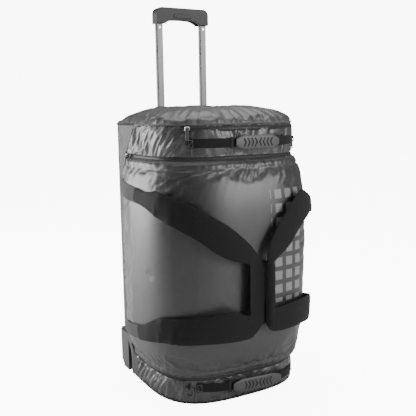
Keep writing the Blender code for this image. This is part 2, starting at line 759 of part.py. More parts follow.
def round_corners(part, radius):
    """Rounds the four upright edges of a box."""
    mesh = part.data
    bm = bmesh.new()
    bm.from_mesh(mesh)
    upright = [edge for edge in bm.edges
               if abs(edge.verts[0].co.z - edge.verts[1].co.z) > 1e-6]
    bmesh.ops.bevel(bm, geom=upright, offset=radius, segments=3, affect="EDGES", profile=0.5)
    bm.to_mesh(mesh)
    bm.free()


def make_handle_side(word, side):
    x = side * TUBE_SPACING / 2
    square_tube(f"{word}_guide_tube", x, GUIDE_W, GUIDE_D, GUIDE_WALL, GUIDE_BOTTOM_Z,
                GUIDE_TOP_Z, "aluminium", 0.003)
    square_tube(f"{word}_handle_tube", x, TUBE_W, TUBE_D, TUBE_WALL, TUBE_BOTTOM_Z, TUBE_TOP_Z,
                "aluminium", 0.0025)


make_handle_side("near", -1)
make_handle_side("far", 1)

BEZEL_HALF = TUBE_SPACING / 2 + 0.026
BEZEL_DEPTH = 0.030
BEZEL = box("handle_bezel", (-BEZEL_HALF, TUBE_Y - BEZEL_DEPTH / 2, BEZEL_BOTTOM_Z),
            (BEZEL_HALF, TUBE_Y + BEZEL_DEPTH / 2, BEZEL_TOP_Z), "moulding", 0.003)
cut(TOP_PANEL, box_cutter("bezel_room",
                          (-BEZEL_HALF - 0.0006, TUBE_Y - BEZEL_DEPTH / 2 - 0.0006, RIM_Z - 0.05),
                          (BEZEL_HALF + 0.0006, TUBE_Y + BEZEL_DEPTH / 2 + 0.0006, RIM_Z + 0.1)))
for word, side in (("near", -1), ("far", 1)):
    x = side * TUBE_SPACING / 2
    hole_w, hole_d = TUBE_W / 2 + GUIDE_CLEAR, TUBE_D / 2 + GUIDE_CLEAR
    hole = box_cutter(f"tube_hole_{side}", (x - hole_w, TUBE_Y - hole_d, BEZEL_BOTTOM_Z - 0.01),
                      (x + hole_w, TUBE_Y + hole_d, BEZEL_TOP_Z + 0.03))
    cut(BEZEL, hole)
    collar = box(f"{word}_tube_collar", (x - hole_w - COLLAR_WALL, TUBE_Y - hole_d - COLLAR_WALL,
                                           BEZEL_TOP_Z + 0.0003),
                 (x + hole_w + COLLAR_WALL, TUBE_Y + hole_d + COLLAR_WALL,
                  BEZEL_TOP_Z + COLLAR_HEIGHT),
                 "rubber", 0.0015, 1)
    cut(collar, hole)

GUIDE_FRONT_Y = TUBE_Y - GUIDE_D / 2
BRACKET_TOP_Z = GUIDE_BOTTOM_Z - PART_GAP
BRACKET_HALF = TUBE_SPACING / 2 + 0.022
BRACKET_HEIGHT = 0.014
BRACKET_BACK_Y = TUBE_Y + 0.012
box("guide_foot_bracket", (-BRACKET_HALF, GUIDE_FRONT_Y, BRACKET_TOP_Z - BRACKET_HEIGHT),
    (BRACKET_HALF, BRACKET_BACK_Y, BRACKET_TOP_Z), "moulding", 0.002, 1)
FRAME_SHEET = 0.0025
FRAME_SHEET_HALF = BAG_WIDTH / 2 - 0.027
box("frame_sheet", (-FRAME_SHEET_HALF, GUIDE_FRONT_Y - PART_GAP - FRAME_SHEET,
                    HOUSING_TOP_Z + 0.004),
    (FRAME_SHEET_HALF, GUIDE_FRONT_Y - PART_GAP, RIM_Z - 0.02), "moulding")

# grip: a bar with an arched underside, hollow below, with the release pad in its front face
GRIP_HALF = GRIP_LENGTH / 2
ARCH_SHARES = (-0.96, -0.88, -0.76, -0.55, -0.25, 0.25, 0.55, 0.76, 0.88, 0.96)
GRIP_CORNER_R = 0.016
ARCH_HALF = TUBE_SPACING / 2 - TUBE_W / 2 - 0.004
GRIP_OUTLINE = arc((GRIP_HALF - GRIP_CORNER_R, GRIP_TOP_Z - GRIP_CORNER_R),
                   GRIP_CORNER_R, 0, 90, 5)
GRIP_OUTLINE += arc((GRIP_CORNER_R - GRIP_HALF, GRIP_TOP_Z - GRIP_CORNER_R),
                    GRIP_CORNER_R, 90, 180, 5)
GRIP_OUTLINE += [(-GRIP_HALF, GRIP_BOTTOM_Z), (-ARCH_HALF, GRIP_BOTTOM_Z)]
GRIP_OUTLINE += [(x, GRIP_BOTTOM_Z + GRIP_ARCH * (1 - (x / ARCH_HALF) ** 4))
                 for x in [ARCH_HALF * t for t in ARCH_SHARES]]
GRIP_OUTLINE += [(ARCH_HALF, GRIP_BOTTOM_Z), (GRIP_HALF, GRIP_BOTTOM_Z)]
GRIP = outline_plate("handle_grip", GRIP_OUTLINE, -TUBE_Y - GRIP_DEPTH / 2,
                     -TUBE_Y + GRIP_DEPTH / 2, "moulding", "Y")
bevel(GRIP, 0.005, 3)
CAVITY_HALF_X = TUBE_SPACING / 2 + TUBE_W / 2 + PART_GAP
CAVITY_HALF_Y = TUBE_D / 2 + PART_GAP
CAVITY_TOP_Z = GRIP_TOP_Z - 0.010
cut(GRIP, box_cutter("grip_cavity", (-CAVITY_HALF_X, TUBE_Y - CAVITY_HALF_Y, GRIP_BOTTOM_Z - 0.02),
                     (CAVITY_HALF_X, TUBE_Y + CAVITY_HALF_Y, CAVITY_TOP_Z)))
COVER_LOW_Z = GRIP_BOTTOM_Z + GRIP_ARCH + PART_GAP
COVER_THICK = 0.0025
BUTTON_Z = COVER_LOW_Z + COVER_THICK + PART_GAP + BUTTON_HEIGHT / 2


def pad_outline(length, height):
    radius = height / 2
    reach = length / 2 - radius
    return (arc((reach, BUTTON_Z), radius, -90, 90, 8)
            + arc((-reach, BUTTON_Z), radius, 90, 270, 8))


FACE_Y = TUBE_Y - GRIP_DEPTH / 2
PAD_BACK_Y = TUBE_Y - 0.0075
cut(GRIP, make_cutter(outline_plate("pad_hole", pad_outline(BUTTON_LENGTH + 0.001,
                                                            BUTTON_HEIGHT + 0.001),
                                    -TUBE_Y + 0.0005, -FACE_Y + 0.01, "moulding", "Y")))
bevel(outline_plate("release_button", pad_outline(BUTTON_LENGTH, BUTTON_HEIGHT), -PAD_BACK_Y,
                    -FACE_Y + 0.0022, "rubber", "Y"), 0.001, 1)
COVER_HALF = TUBE_SPACING / 2 - TUBE_W / 2 - PART_GAP
box("grip_cover", (-COVER_HALF, TUBE_Y - CAVITY_HALF_Y + PART_GAP, COVER_LOW_Z),
    (COVER_HALF, TUBE_Y + CAVITY_HALF_Y - PART_GAP, COVER_LOW_Z + COVER_THICK), "moulding")

# release yoke: a bar in the grip with a rod down each tube, pushed down by the pad
YOKE_TOP_Z = CAVITY_TOP_Z - 0.006
YOKE_BAR = 0.006
YOKE_HALF = 0.003
ROD_R = 0.002
YOKE = box("release_yoke", (-TUBE_SPACING / 2 - YOKE_HALF, TUBE_Y - YOKE_HALF, YOKE_TOP_Z - YOKE_BAR),
           (TUBE_SPACING / 2 + YOKE_HALF, TUBE_Y + YOKE_HALF, YOKE_TOP_Z), "steel")
for side in (-1, 1):
    x = side * TUBE_SPACING / 2
    leg = rod(f"yoke_leg_{side}", (x, TUBE_Y, TUBE_BOTTOM_Z + 0.014),
              (x, TUBE_Y, YOKE_TOP_Z - YOKE_BAR / 2), ROD_R, "steel", 12)
    cut(YOKE, make_cutter(leg), "UNION")

# lock pins sit across the foot of each tube, in its plug
PIN_Z = TUBE_BOTTOM_Z + 0.006
PIN_REACH = TUBE_W / 2 - TUBE_WALL - PART_GAP
RIVET_Z = GRIP_BOTTOM_Z - 0.010
RIVET_Y = TUBE_Y - TUBE_D / 2 - 0.0003
for word, side in (("near", -1), ("far", 1)):
    x = side * TUBE_SPACING / 2
    rod(f"{word}_lock_pin", (x - PIN_REACH, TUBE_Y, PIN_Z), (x + PIN_REACH, TUBE_Y, PIN_Z), 0.003,
        "steel", 14)
    rod(f"{word}_tube_rivet", (x, RIVET_Y - 0.0010, RIVET_Z), (x, RIVET_Y, RIVET_Z), 0.0028,
        "steel", 14)


# ---- feet and runners -----------------------------------------------------------------------------------------
FOOT_Y = -FRONT_DEPTH + 0.060
FOOT_X, FOOT_LENGTH, FOOT_WIDTH = 0.110, 0.060, 0.022
RUNNER_X, RUNNER_WIDTH, RUNNER_DEPTH = 0.105, 0.018, 0.005
RUNNER_Y = BACK_DEPTH + PART_GAP
for word, side in (("near", -1), ("far", 1)):
    x = side * FOOT_X
    box(f"{word}_foot", (x - FOOT_LENGTH / 2, FOOT_Y - FOOT_WIDTH / 2, 0.0),
        (x + FOOT_LENGTH / 2, FOOT_Y + FOOT_WIDTH / 2, BASE_Z - PART_GAP), "rubber", 0.002, 1)
    x = side * RUNNER_X
    box(f"{word}_back_runner", (x - RUNNER_WIDTH / 2, RUNNER_Y, BASE_TUCK_Z + 0.010),
        (x + RUNNER_WIDTH / 2, RUNNER_Y + RUNNER_DEPTH, RIM_Z - 0.110), "moulding", 0.0015, 1)


# ---- carry handles and their wrap --------------------------------------------------------------------------
UPPER_ANCHOR_GIRTH = edge_girth(UPPER_ANCHOR_Z) - 0.004
LOWER_ANCHOR_GIRTH = edge_girth(LOWER_ANCHOR_Z) - 0.004
GRIP_LIFT = 0.026          # the straps' vertical middles stand this far off the lid
NEAR_GRIP_GIRTH, NEAR_GRIP_WIDTH = -0.013, 0.040
FAR_GRIP_GIRTH, FAR_GRIP_WIDTH = 0.026, 0.015
NEAR_LOOP = [
    (-UPPER_ANCHOR_GIRTH, UPPER_ANCHOR_Z, STRAP_LIFT, ANCHOR_WIDTH),
    (-0.400, 0.526, 0.0065, ANCHOR_WIDTH), (-0.330, 0.522, 0.007, 0.040),
    (-0.288, 0.522, 0.009, 0.044), (-0.241, 0.512, 0.012, ARM_WIDTH),
    (-0.191, 0.492, 0.016, ARM_WIDTH), (-0.148, 0.468, 0.020, ARM_WIDTH),
    (-0.085, 0.424, 0.024, 0.058), (-0.042, 0.388, GRIP_LIFT, 0.050),
    (-0.018, 0.345, GRIP_LIFT, 0.042), (NEAR_GRIP_GIRTH, 0.300, GRIP_LIFT, NEAR_GRIP_WIDTH),
    (-0.016, 0.262, GRIP_LIFT, 0.042), (-0.042, 0.228, GRIP_LIFT, 0.052),
    (-0.088, 0.220, 0.024, ARM_WIDTH), (-0.140, 0.217, 0.020, ARM_WIDTH),
    (-0.191, 0.213, 0.015, ARM_WIDTH), (-0.245, 0.205, 0.011, 0.058),
    (-0.290, 0.193, 0.008, 0.044), (-0.360, 0.174, 0.0065, ANCHOR_WIDTH),
    (-LOWER_ANCHOR_GIRTH, LOWER_ANCHOR_Z, STRAP_LIFT, ANCHOR_WIDTH)]
FAR_LOOP = [
    (UPPER_ANCHOR_GIRTH, UPPER_ANCHOR_Z, STRAP_LIFT, ANCHOR_WIDTH),
    (0.400, 0.535, 0.0065, ANCHOR_WIDTH), (0.330, 0.543, 0.007, 0.044),
    (0.250, 0.546, 0.010, 0.058), (0.192, 0.528, 0.014, ARM_WIDTH),
    (0.150, 0.505, 0.018, ARM_WIDTH), (0.107, 0.472, 0.022, ARM_WIDTH),
    (0.071, 0.435, 0.024, 0.054), (0.046, 0.402, GRIP_LIFT, 0.036),
    (0.031, 0.376, GRIP_LIFT, 0.020), (FAR_GRIP_GIRTH, 0.350, GRIP_LIFT, FAR_GRIP_WIDTH),
    (FAR_GRIP_GIRTH, 0.300, GRIP_LIFT, FAR_GRIP_WIDTH),
    (FAR_GRIP_GIRTH, 0.240, GRIP_LIFT, FAR_GRIP_WIDTH), (0.040, 0.214, GRIP_LIFT, 0.032),
    (0.070, 0.214, GRIP_LIFT, 0.052), (0.110, 0.221, 0.023, ARM_WIDTH),
    (0.155, 0.220, 0.018, ARM_WIDTH), (0.205, 0.213, 0.013, ARM_WIDTH),
    (0.280, 0.195, 0.008, 0.050), (0.360, 0.174, 0.0065, ANCHOR_WIDTH),
    (LOWER_ANCHOR_GIRTH, LOWER_ANCHOR_Z, STRAP_LIFT, ANCHOR_WIDTH)]
ribbon_on("near_carry_strap", NEAR_LOOP, 3, STRAP_THICK, "webbing")
ribbon_on("far_carry_strap", FAR_LOOP, 3, STRAP_THICK, "webbing")

WRAP_SPOT, WRAP_AWAY, WRAP_ALONG = skin_frame(FAR_GRIP_GIRTH, 0.300)
WRAP_CENTRE = WRAP_SPOT + WRAP_AWAY * (GRIP_LIFT - STRAP_THICK / 2)
WRAP_LOW_Z, WRAP_HIGH_Z = 0.240, 0.350


def wrap_piece(name, start, end):
    """Part of the wrap's wall between two headings in degrees, seen from above."""
    middle = (WRAP_CENTRE.x, WRAP_CENTRE.y)
    outline = arc(middle, WRAP_R, start, end, 8)
    outline += arc(middle, WRAP_R - WRAP_WALL, end, start, 8)
    return outline_plate(name, outline, WRAP_LOW_Z, WRAP_HIGH_Z, "webbing")


wrap_piece("wrap_sleeve", 96, 171)
wrap_piece("wrap_flap", 189, 262)


# ---- end handles and their rings -------------------------------------------------------------------------------
def end_handle(word, z, start, grip_start, grip_end, end, ring_girth, ring_z):
    """Webbing sewn flat at both ends, a moulded pad on its bowed middle, a ring beside it."""
    flat, bowed = 0.0042, 0.0125
    middle = (grip_start + grip_end) / 2
    web = [(start, z, flat, END_WEB_WIDTH), (start + 0.02, z, flat, END_WEB_WIDTH),
           (grip_start, z, bowed - 0.002, END_WEB_WIDTH), (middle, z, bowed, END_WEB_WIDTH),
           (grip_end, z, bowed - 0.002, END_WEB_WIDTH), (end - 0.02, z, flat, END_WEB_WIDTH),
           (end, z, flat, END_WEB_WIDTH)]
    ribbon_on(f"{word}_handle_webbing", web, 3, END_WEB_THICK, "webbing")
    pad = [(g, z, bowed + 0.0065, END_GRIP_HEIGHT) for g in spread(grip_start, grip_end, 6)]
    bevel(ribbon_on(f"{word}_handle_pad", pad, 1, 0.0050, "rubber"), 0.001, 1)
    point, away, along = skin_frame(ring_girth, ring_z)
    pivot = point + away * (RING_WIRE + 0.0038)
    tab = oriented_box(f"{word}_ring_tab", pivot + Vector((0, 0, 0.010)), away, along,
                       (0.004, 0.0072, 0.014), "webbing")
    bore = add_part(f"{word}_ring_bore", rod_mesh("bore", pivot - along * 0.01,
                                                  pivot + along * 0.01, RING_WIRE + 0.0006, 14),
                    "steel")
    cut(tab, make_cutter(bore))
    make_ring(f"{word}_ring", pivot, away)


def make_ring(name, pivot, away):
    bpy.ops.mesh.primitive_torus_add(major_radius=RING_R, minor_radius=RING_WIRE,
                                     major_segments=20, minor_segments=6)
    ring = bpy.context.object
    for owner in list(ring.users_collection):
        owner.objects.unlink(ring)
    PARTS.objects.link(ring)
    ring.name = name
    ring.data.name = name
    ring.data.materials.append(material("steel"))
    turn = Vector((0, 0, 1)).rotation_difference(away)
    ring.matrix_world = (Matrix.Translation(pivot - Vector((0, 0, RING_R)))
                         @ turn.to_matrix().to_4x4())


end_handle("top", 0.657, -0.178, -0.044, 0.102, 0.200, 0.222, 0.655)
end_handle("bottom", 0.047, -0.165, -0.060, 0.112, 0.200, -0.186, 0.052)


# ---- the frame: origin at the middle of the underside of the whole bag's box ----------------------------------------
def stand_on_origin():
    bpy.context.view_layer.update()
    graph = bpy.context.evaluated_depsgraph_get()
    low, high = Vector((9, 9, 9)), Vector((-9, -9, -9))
    for part in PARTS.objects:
        seen = part.evaluated_get(graph)
        mesh = seen.to_mesh()
        for vert in mesh.vertices:
            spot = part.matrix_world @ vert.co
            low = Vector(map(min, low, spot))
            high = Vector(map(max, high, spot))
        seen.to_mesh_clear()
    root = bpy.data.objects.new("bag_frame", None)
    PARTS.objects.link(root)
    for part in list(PARTS.objects) + list(CUTTERS.objects):
        if part is not root:
            part.parent = root
    root.location = (-(low.x + high.x) / 2, -(low.y + high.y) / 2, -low.z)
    bpy.context.view_layer.update()


stand_on_origin()
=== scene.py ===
"""Rolling duffel bag: coated cloth walls on a stiff wheeled back shell, with a zipped
lid, webbing carry handles, end handles and a pull-out handle."""
import bisect
import math

import bmesh
import bpy
from mathutils import Matrix, Vector, noise


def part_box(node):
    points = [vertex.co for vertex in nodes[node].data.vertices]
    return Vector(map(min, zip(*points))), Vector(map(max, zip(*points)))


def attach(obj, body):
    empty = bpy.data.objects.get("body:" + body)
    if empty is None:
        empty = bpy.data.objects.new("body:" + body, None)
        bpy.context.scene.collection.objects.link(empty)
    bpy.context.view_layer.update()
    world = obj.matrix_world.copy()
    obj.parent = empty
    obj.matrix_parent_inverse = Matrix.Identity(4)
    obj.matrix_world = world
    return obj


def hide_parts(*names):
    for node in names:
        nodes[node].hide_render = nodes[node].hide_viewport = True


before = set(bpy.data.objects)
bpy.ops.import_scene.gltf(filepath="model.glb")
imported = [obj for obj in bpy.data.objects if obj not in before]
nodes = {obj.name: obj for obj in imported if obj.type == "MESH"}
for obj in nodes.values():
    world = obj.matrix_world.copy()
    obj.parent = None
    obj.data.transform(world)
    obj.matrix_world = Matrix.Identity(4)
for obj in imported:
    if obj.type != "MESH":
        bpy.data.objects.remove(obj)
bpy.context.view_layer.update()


# ---- Studio ----
# The bag stands on a plain pale floor. A wide soft light hangs behind it on the near
# side, another stands in front on the far side, and a broad one is overhead.
def area_light(name, place, target, width, height, power):
    data = bpy.data.lights.new(name, "AREA")
    data.shape = "RECTANGLE"
    data.size = width
    data.size_y = height
    data.energy = power
    light = bpy.data.objects.new(name, data)
    light.location = place
    light.rotation_euler = (Vector(target) - Vector(place)).to_track_quat("-Z", "Z").to_euler()
    bpy.context.scene.collection.objects.link(light)


area_light("near_rear_light", (-1.9, 1.9, 0.8), (-0.1, 0.0, 0.40), 1.5, 2.0, 105)
area_light("far_front_light", (1.3, -2.4, 1.3), (0.0, 0.0, 0.45), 0.8, 1.3, 62)
area_light("overhead_light", (0.2, 0.4, 3.0), (0.0, 0.0, 0.0), 3.0, 3.0, 80)

AMBIENT, BACKDROP = 0.26, 9.0      # strengths: soft fill, and the pale ground seen behind the bag
camera_data = bpy.data.cameras.new("camera")
camera_data.sensor_width = 36.0
camera_data.lens = 55.12
camera = bpy.data.objects.new("camera", camera_data)
camera_right = Vector((0.87437, -0.48501, -0.01561))
camera_up = Vector((0.08658, 0.12429, 0.98846))
camera_back = Vector((-0.47747, -0.86563, 0.15066))
camera.matrix_world = Matrix.LocRotScale(
    Vector((-0.8303, -1.4718, 0.7324)),
    Matrix((camera_right, camera_up, camera_back)).transposed().to_quaternion(), None)
bpy.context.scene.collection.objects.link(camera)
bpy.context.scene.camera = camera

studio = bpy.data.worlds.new("studio")
studio.use_nodes = True
bpy.context.scene.world = studio
sky = studio.node_tree
sky_light = sky.nodes["Background"]
sky_light.inputs["Color"].default_value = (1.0, 1.0, 1.0, 1.0)
sky_light.inputs["Strength"].default_value = AMBIENT
sky_backdrop = sky.nodes.new("ShaderNodeBackground")
sky_backdrop.inputs["Color"].default_value = (1.0, 1.0, 1.0, 1.0)
sky_backdrop.inputs["Strength"].default_value = BACKDROP
sky_rays = sky.nodes.new("ShaderNodeLightPath")
sky_mix = sky.nodes.new("ShaderNodeMixShader")
sky.links.new(sky_rays.outputs["Is Camera Ray"], sky_mix.inputs[0])
sky.links.new(sky_light.outputs[0], sky_mix.inputs[1])
sky.links.new(sky_backdrop.outputs[0], sky_mix.inputs[2])
sky.links.new(sky_mix.outputs[0], sky.nodes["World Output"].inputs["Surface"])


class Field:
    """A shader value: arithmetic on it adds Math nodes."""

    def __init__(self, paint, socket):
        self.paint = paint
        self.socket = socket

    def math(self, operation, *others):
        values = dict(enumerate((self, *others)))
        return self.paint.node("ShaderNodeMath", {"operation": operation}, values)

    def __add__(self, other):
        return self.math("ADD", other)

    def __radd__(self, other):
        return self.math("ADD", other)

    def __sub__(self, other):
        return self.math("SUBTRACT", other)

    def __rsub__(self, other):
        return (self * -1.0) + other

    def __mul__(self, other):
        return self.math("MULTIPLY", other)

    def __rmul__(self, other):
        return self.math("MULTIPLY", other)

    def __abs__(self):
        return self.math("ABSOLUTE")

    def sine(self):
        return self.math("SINE")

    def step(self, low, high):
        """0 below low, 1 above high, smooth between."""
        return self.paint.node("ShaderNodeMapRange", {"interpolation_type": "SMOOTHSTEP"},
                               {"Value": self, "From Min": low, "From Max": high})


class Paint:
    """A material under construction. node() adds a node: settings first, then sockets."""

    def __init__(self, name, colour, roughness, **constants):
        self.material = bpy.data.materials.new(name)
        self.material.use_nodes = True
        self.tree = self.material.node_tree
        self.shader = self.tree.nodes["Principled BSDF"]
        self.colour = colour
        self.shader.inputs["Base Color"].default_value = (colour, colour, colour * 1.01, 1.0)
        self.shader.inputs["Roughness"].default_value = roughness
        for socket, value in constants.items():
            self.shader.inputs[socket.replace("_", " ")].default_value = value

    def node(self, kind, settings=None, sockets=None, output=0):
        made = self.tree.nodes.new(kind)
        for key, value in (settings or {}).items():
            setattr(made, key, value)
        for key, value in (sockets or {}).items():
            if isinstance(value, Field):
                self.tree.links.new(value.socket, made.inputs[key])
            else:
                made.inputs[key].default_value = value
        return Field(self, made.outputs[output])

    def place(self, kind="Object", scale=(1.0, 1.0, 1.0)):
        """Coordinates in metres: Object, or UV for lengths along and across a piece."""
        found = self.node("ShaderNodeTexCoord", output=kind)
        return self.node("ShaderNodeMapping", {}, {"Vector": found, "Scale": scale})

    def cloud(self, where, scale, detail=3.0, roughness=0.55):
        """Soft noise from about 0 to 1."""
        return self.node("ShaderNodeTexNoise", {}, {"Vector": where, "Scale": scale,
                                                    "Detail": detail, "Roughness": roughness})

    def split(self, where):
        parts = self.tree.nodes.new("ShaderNodeSeparateXYZ")
        self.tree.links.new(where.socket, parts.inputs[0])
        return [Field(self, parts.outputs[axis]) for axis in range(3)]

    def blend(self, share, first, second):
        """Greys or Fields mixed as colours."""
        mixed = self.tree.nodes.new("ShaderNodeMix")
        mixed.data_type = "RGBA"
        self.tree.links.new(share.socket, mixed.inputs[0])
        for slot, tone in ((6, first), (7, second)):
            if isinstance(tone, Field):
                self.tree.links.new(tone.socket, mixed.inputs[slot])
            else:
                mixed.inputs[slot].default_value = (tone, tone, tone * 1.01, 1.0)
        return Field(self, mixed.outputs[2])

    def mottle(self, dark, pale, scale, detail=3.0):
        """Cloudy colour between two greys. Returns the clouds."""
        clouds = self.cloud(self.place(), scale, detail)
        self.feed("Base Color", self.blend(clouds, dark, pale))
        return clouds

    def feed(self, socket, value):
        self.tree.links.new(value.socket, self.shader.inputs[socket])
        return self

    def bump(self, height, strength, distance):
        made = self.node("ShaderNodeBump", {}, {"Height": height, "Strength": strength,
                                                "Distance": distance})
        return self.feed("Normal", made)


floor_paint = Paint("floor", 0.86, 0.9, Specular_IOR_Level=0.0)
floor_spots = floor_paint.cloud(floor_paint.place(), 3.0)
floor_paint.feed("Base Color", floor_paint.blend(floor_spots, 0.85, 0.87))
floor_paint.shader.inputs["Emission Strength"].default_value = BACKDROP
floor_paint.feed("Emission Color", floor_paint.node("ShaderNodeLightPath"))
floor_mesh = bpy.data.meshes.new("floor")
FLOOR_HALF = 14.0
floor_corners = [(x * FLOOR_HALF, y * FLOOR_HALF, 0.0) for x, y in ((-1, -1), (1, -1), (1, 1), (-1, 1))]
floor_mesh.from_pydata(floor_corners, [], [(0, 1, 2, 3)])
floor = bpy.data.objects.new("floor", floor_mesh)
floor_mesh.materials.append(floor_paint.material)
bpy.context.scene.collection.objects.link(floor)


# ---- Back shell, base and runners ----
# A stiff tray of laminated grey fabric over foam board, with moulded runners, a dark
# coated base and rubber feet. The frame inside is a thin board and two guide tubes.
def dress(paint, *names):
    """Gives carried-over parts their finish."""
    for name in names:
        part = nodes[name]
        for place in range(len(part.material_slots)):
            part.material_slots[place].link = "OBJECT"
            part.material_slots[place].material = paint.material
        if not part.material_slots:
            part.data.materials.append(paint.material)


def woven(paint, where, pitch, strength, extra=None):
    """Over-and-under threads along and across, as bump."""
    across, along, up = paint.split(where)
    turn = 2 * math.pi / pitch
    threads = (across * turn).sine() * (along * turn).sine() + (up * turn).sine() * 0.5
    height = threads * 0.5 + 0.5
    return paint.bump(height if extra is None else height + extra, strength, 0.0006)


shell_paint = Paint("shell_fabric", 0.05, 0.5, Specular_IOR_Level=0.35)
shell_cloud = shell_paint.cloud(shell_paint.place(), 14.0, 5.0)
shell_scuff = shell_paint.cloud(shell_paint.place(scale=(1, 1, 0.25)), 90.0, 2.0).step(0.62, 0.78)
shell_paint.feed("Base Color", shell_paint.blend(shell_scuff * 0.5,
                                                 shell_paint.blend(shell_cloud, 0.030, 0.050), 0.08))
shell_paint.feed("Roughness", shell_cloud * 0.18 + 0.44)
woven(shell_paint, shell_paint.place(), 0.0016, 0.25, shell_cloud * 2.0)
dress(shell_paint, "back_shell")

base_paint = Paint("base_fabric", 0.045, 0.62)
base_paint.mottle(0.03, 0.065, 40.0, 4.0)
woven(base_paint, base_paint.place(), 0.0018, 0.4)
dress(base_paint, "bottom_panel", "frame_sheet")

moulding_paint = Paint("wheel_moulding", 0.045, 0.42)
moulding_grain = moulding_paint.cloud(moulding_paint.place(), 900.0, 2.0)
moulding_paint.mottle(0.035, 0.055, 30.0)
moulding_paint.feed("Roughness", moulding_grain * 0.15 + 0.36)
moulding_paint.bump(moulding_grain, 0.12, 0.0004)
dress(moulding_paint, "near_back_runner", "far_back_runner", "guide_foot_bracket", "near_hub",
      "far_hub", "handle_bezel")

rubber_paint = Paint("rubber", 0.03, 0.62)
rubber_cloud = rubber_paint.mottle(0.022, 0.042, 60.0, 4.0)
rubber_paint.feed("Roughness", rubber_cloud * 0.2 + 0.52)
rubber_paint.bump(rubber_paint.cloud(rubber_paint.place(), 1400.0, 1.0), 0.15, 0.0003)
dress(rubber_paint, "near_foot", "far_foot", "near_tube_collar", "far_tube_collar")


# ---- Wheels and their housings ----
# Rubber tyres on plain moulded hubs turn on steel bearings in grey moulded corner housings,
# which are fixed to the shell's foot.
housing_paint = Paint("housing", 0.20, 0.40)
housing_cloud = housing_paint.mottle(0.035, 0.06, 22.0, 4.0)
housing_grain = housing_paint.cloud(housing_paint.place(), 1100.0, 1.0)
housing_paint.feed("Roughness", housing_cloud * 0.16 + 0.34)
housing_paint.bump(housing_grain, 0.10, 0.0004)
dress(housing_paint, "near_wheel_housing", "far_wheel_housing")

tyre_paint = Paint("tyre", 0.035, 0.58)
tyre_cloud = tyre_paint.mottle(0.025, 0.055, 45.0, 4.0)
tyre_paint.feed("Roughness", tyre_cloud * 0.2 + 0.48)
tyre_paint.bump(tyre_paint.cloud(tyre_paint.place(), 800.0, 2.0), 0.15, 0.0004)
dress(tyre_paint, "near_tyre", "far_tyre")

steel_paint = Paint("steel", 0.55, 0.28, Metallic=1.0)
steel_cloud = steel_paint.mottle(0.42, 0.62, 160.0)
steel_paint.feed("Roughness", steel_cloud * 0.2 + 0.2)
dress(steel_paint, *(f"{side}_{part}" for side in ("near", "far")
                     for part in ("axle", "inner_bearing", "outer_bearing", "lock_pin", "tube_rivet")))
dress(steel_paint, "release_yoke")


# ---- Coated cloth walls ----
# The lid, far side, end bands and top are cut from glossy coated cloth and sewn edge to
# edge. They share one rounded outline that swells between the two runs of the main zip.
BAG_WIDTH, FRONT_DEPTH, BACK_DEPTH = 0.398, 0.197, 0.195
RIM_Z, BASE_Z = 0.700, 0.007
UPPER_ZIP_Z, LOWER_ZIP_Z = 0.620, 0.073
TOP_CROWN = 0.040
SIDE_BULGE, FRONT_BULGE = 0.030, 0.040
FRONT_SQUARENESS, BACK_SQUARENESS = 3.2, 7.0
ZIP_MID, ZIP_HALF = (UPPER_ZIP_Z + LOWER_ZIP_Z) / 2, (UPPER_ZIP_Z - LOWER_ZIP_Z) / 2
LID_FAR_EDGE, LID_CORNER_R = 0.330, 0.055
SEAM_MARGIN = 0.005        # from a zip's middle to the cloth's edge
SHELL_EDGE = [             # (z, y from the middle) down the seam with the back shell
    (0.000, 0.036), (0.100, 0.064), (0.130, 0.090), (0.180, 0.098), (0.300, 0.112),
    (0.500, 0.114), (0.560, 0.104), (0.620, 0.085), (0.700, 0.020)]
BULGE_END = 0.61           # radians behind the side, where the stiff shell ends the swelling
middle_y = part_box("back_shell")[1].y - BACK_DEPTH


def swell(z):
    share = min(abs(z - ZIP_MID) / ZIP_HALF, 1.0)
    return (1.0 - share ** 4) ** 0.8


def section(heading, z):
    stiff = min(math.asin(max(math.sin(heading), 0.0)) / BULGE_END, 1.0)
    across = BAG_WIDTH / 2 + SIDE_BULGE * swell(z) * (1.0 - stiff * stiff * (3.0 - 2.0 * stiff))
    along, power = BACK_DEPTH, BACK_SQUARENESS
    if math.sin(heading) < 0:
        along, power = FRONT_DEPTH + FRONT_BULGE * swell(z), FRONT_SQUARENESS
    size = ((abs(math.cos(heading)) / across) ** power
            + (abs(math.sin(heading)) / along) ** power) ** (-1.0 / power)
    return Vector((size * math.cos(heading), size * math.sin(heading) + middle_y, z))


def outward(heading, z):
    run = section(heading + 0.004, z) - section(heading - 0.004, z)
    return Vector((run.y, -run.x, 0.0)).normalized()


# girth is measured round the fullest section from the front middle, towards the far side
headings = [-math.pi / 2 + math.pi * step / 900 for step in range(901)]
girths = [0.0]
for earlier, later in zip(headings, headings[1:]):
    girths.append(girths[-1] + (section(later, ZIP_MID) - section(earlier, ZIP_MID)).length)


def heading_at(girth):
    place = min(max(bisect.bisect(girths, abs(girth)), 1), len(girths) - 1)
    share = (abs(girth) - girths[place - 1]) / (girths[place] - girths[place - 1])
    heading = headings[place - 1] + share * (headings[place] - headings[place - 1])
    return heading if girth >= 0 else -math.pi - heading


def skin(girth, z, lift=0.0):
    heading = heading_at(girth)
    return section(heading, z) + outward(heading, z) * lift


edge_girths = [(z, next(length for heading, length in zip(headings, girths)
                        if heading > 0 and section(heading, ZIP_MID).y >= middle_y + y))
               for z, y in SHELL_EDGE]


def edge_girth(z):
    """Girth of the shell's seam at a height."""
    for (low, first), (high, second) in zip(edge_girths, edge_girths[1:]):
        if z <= high:
            break
    return first + (second - first) * min((z - low) / (high - low), 1.0)


def spread(first, last, count):
    return [first + (last - first) * step / count for step in range(count + 1)]


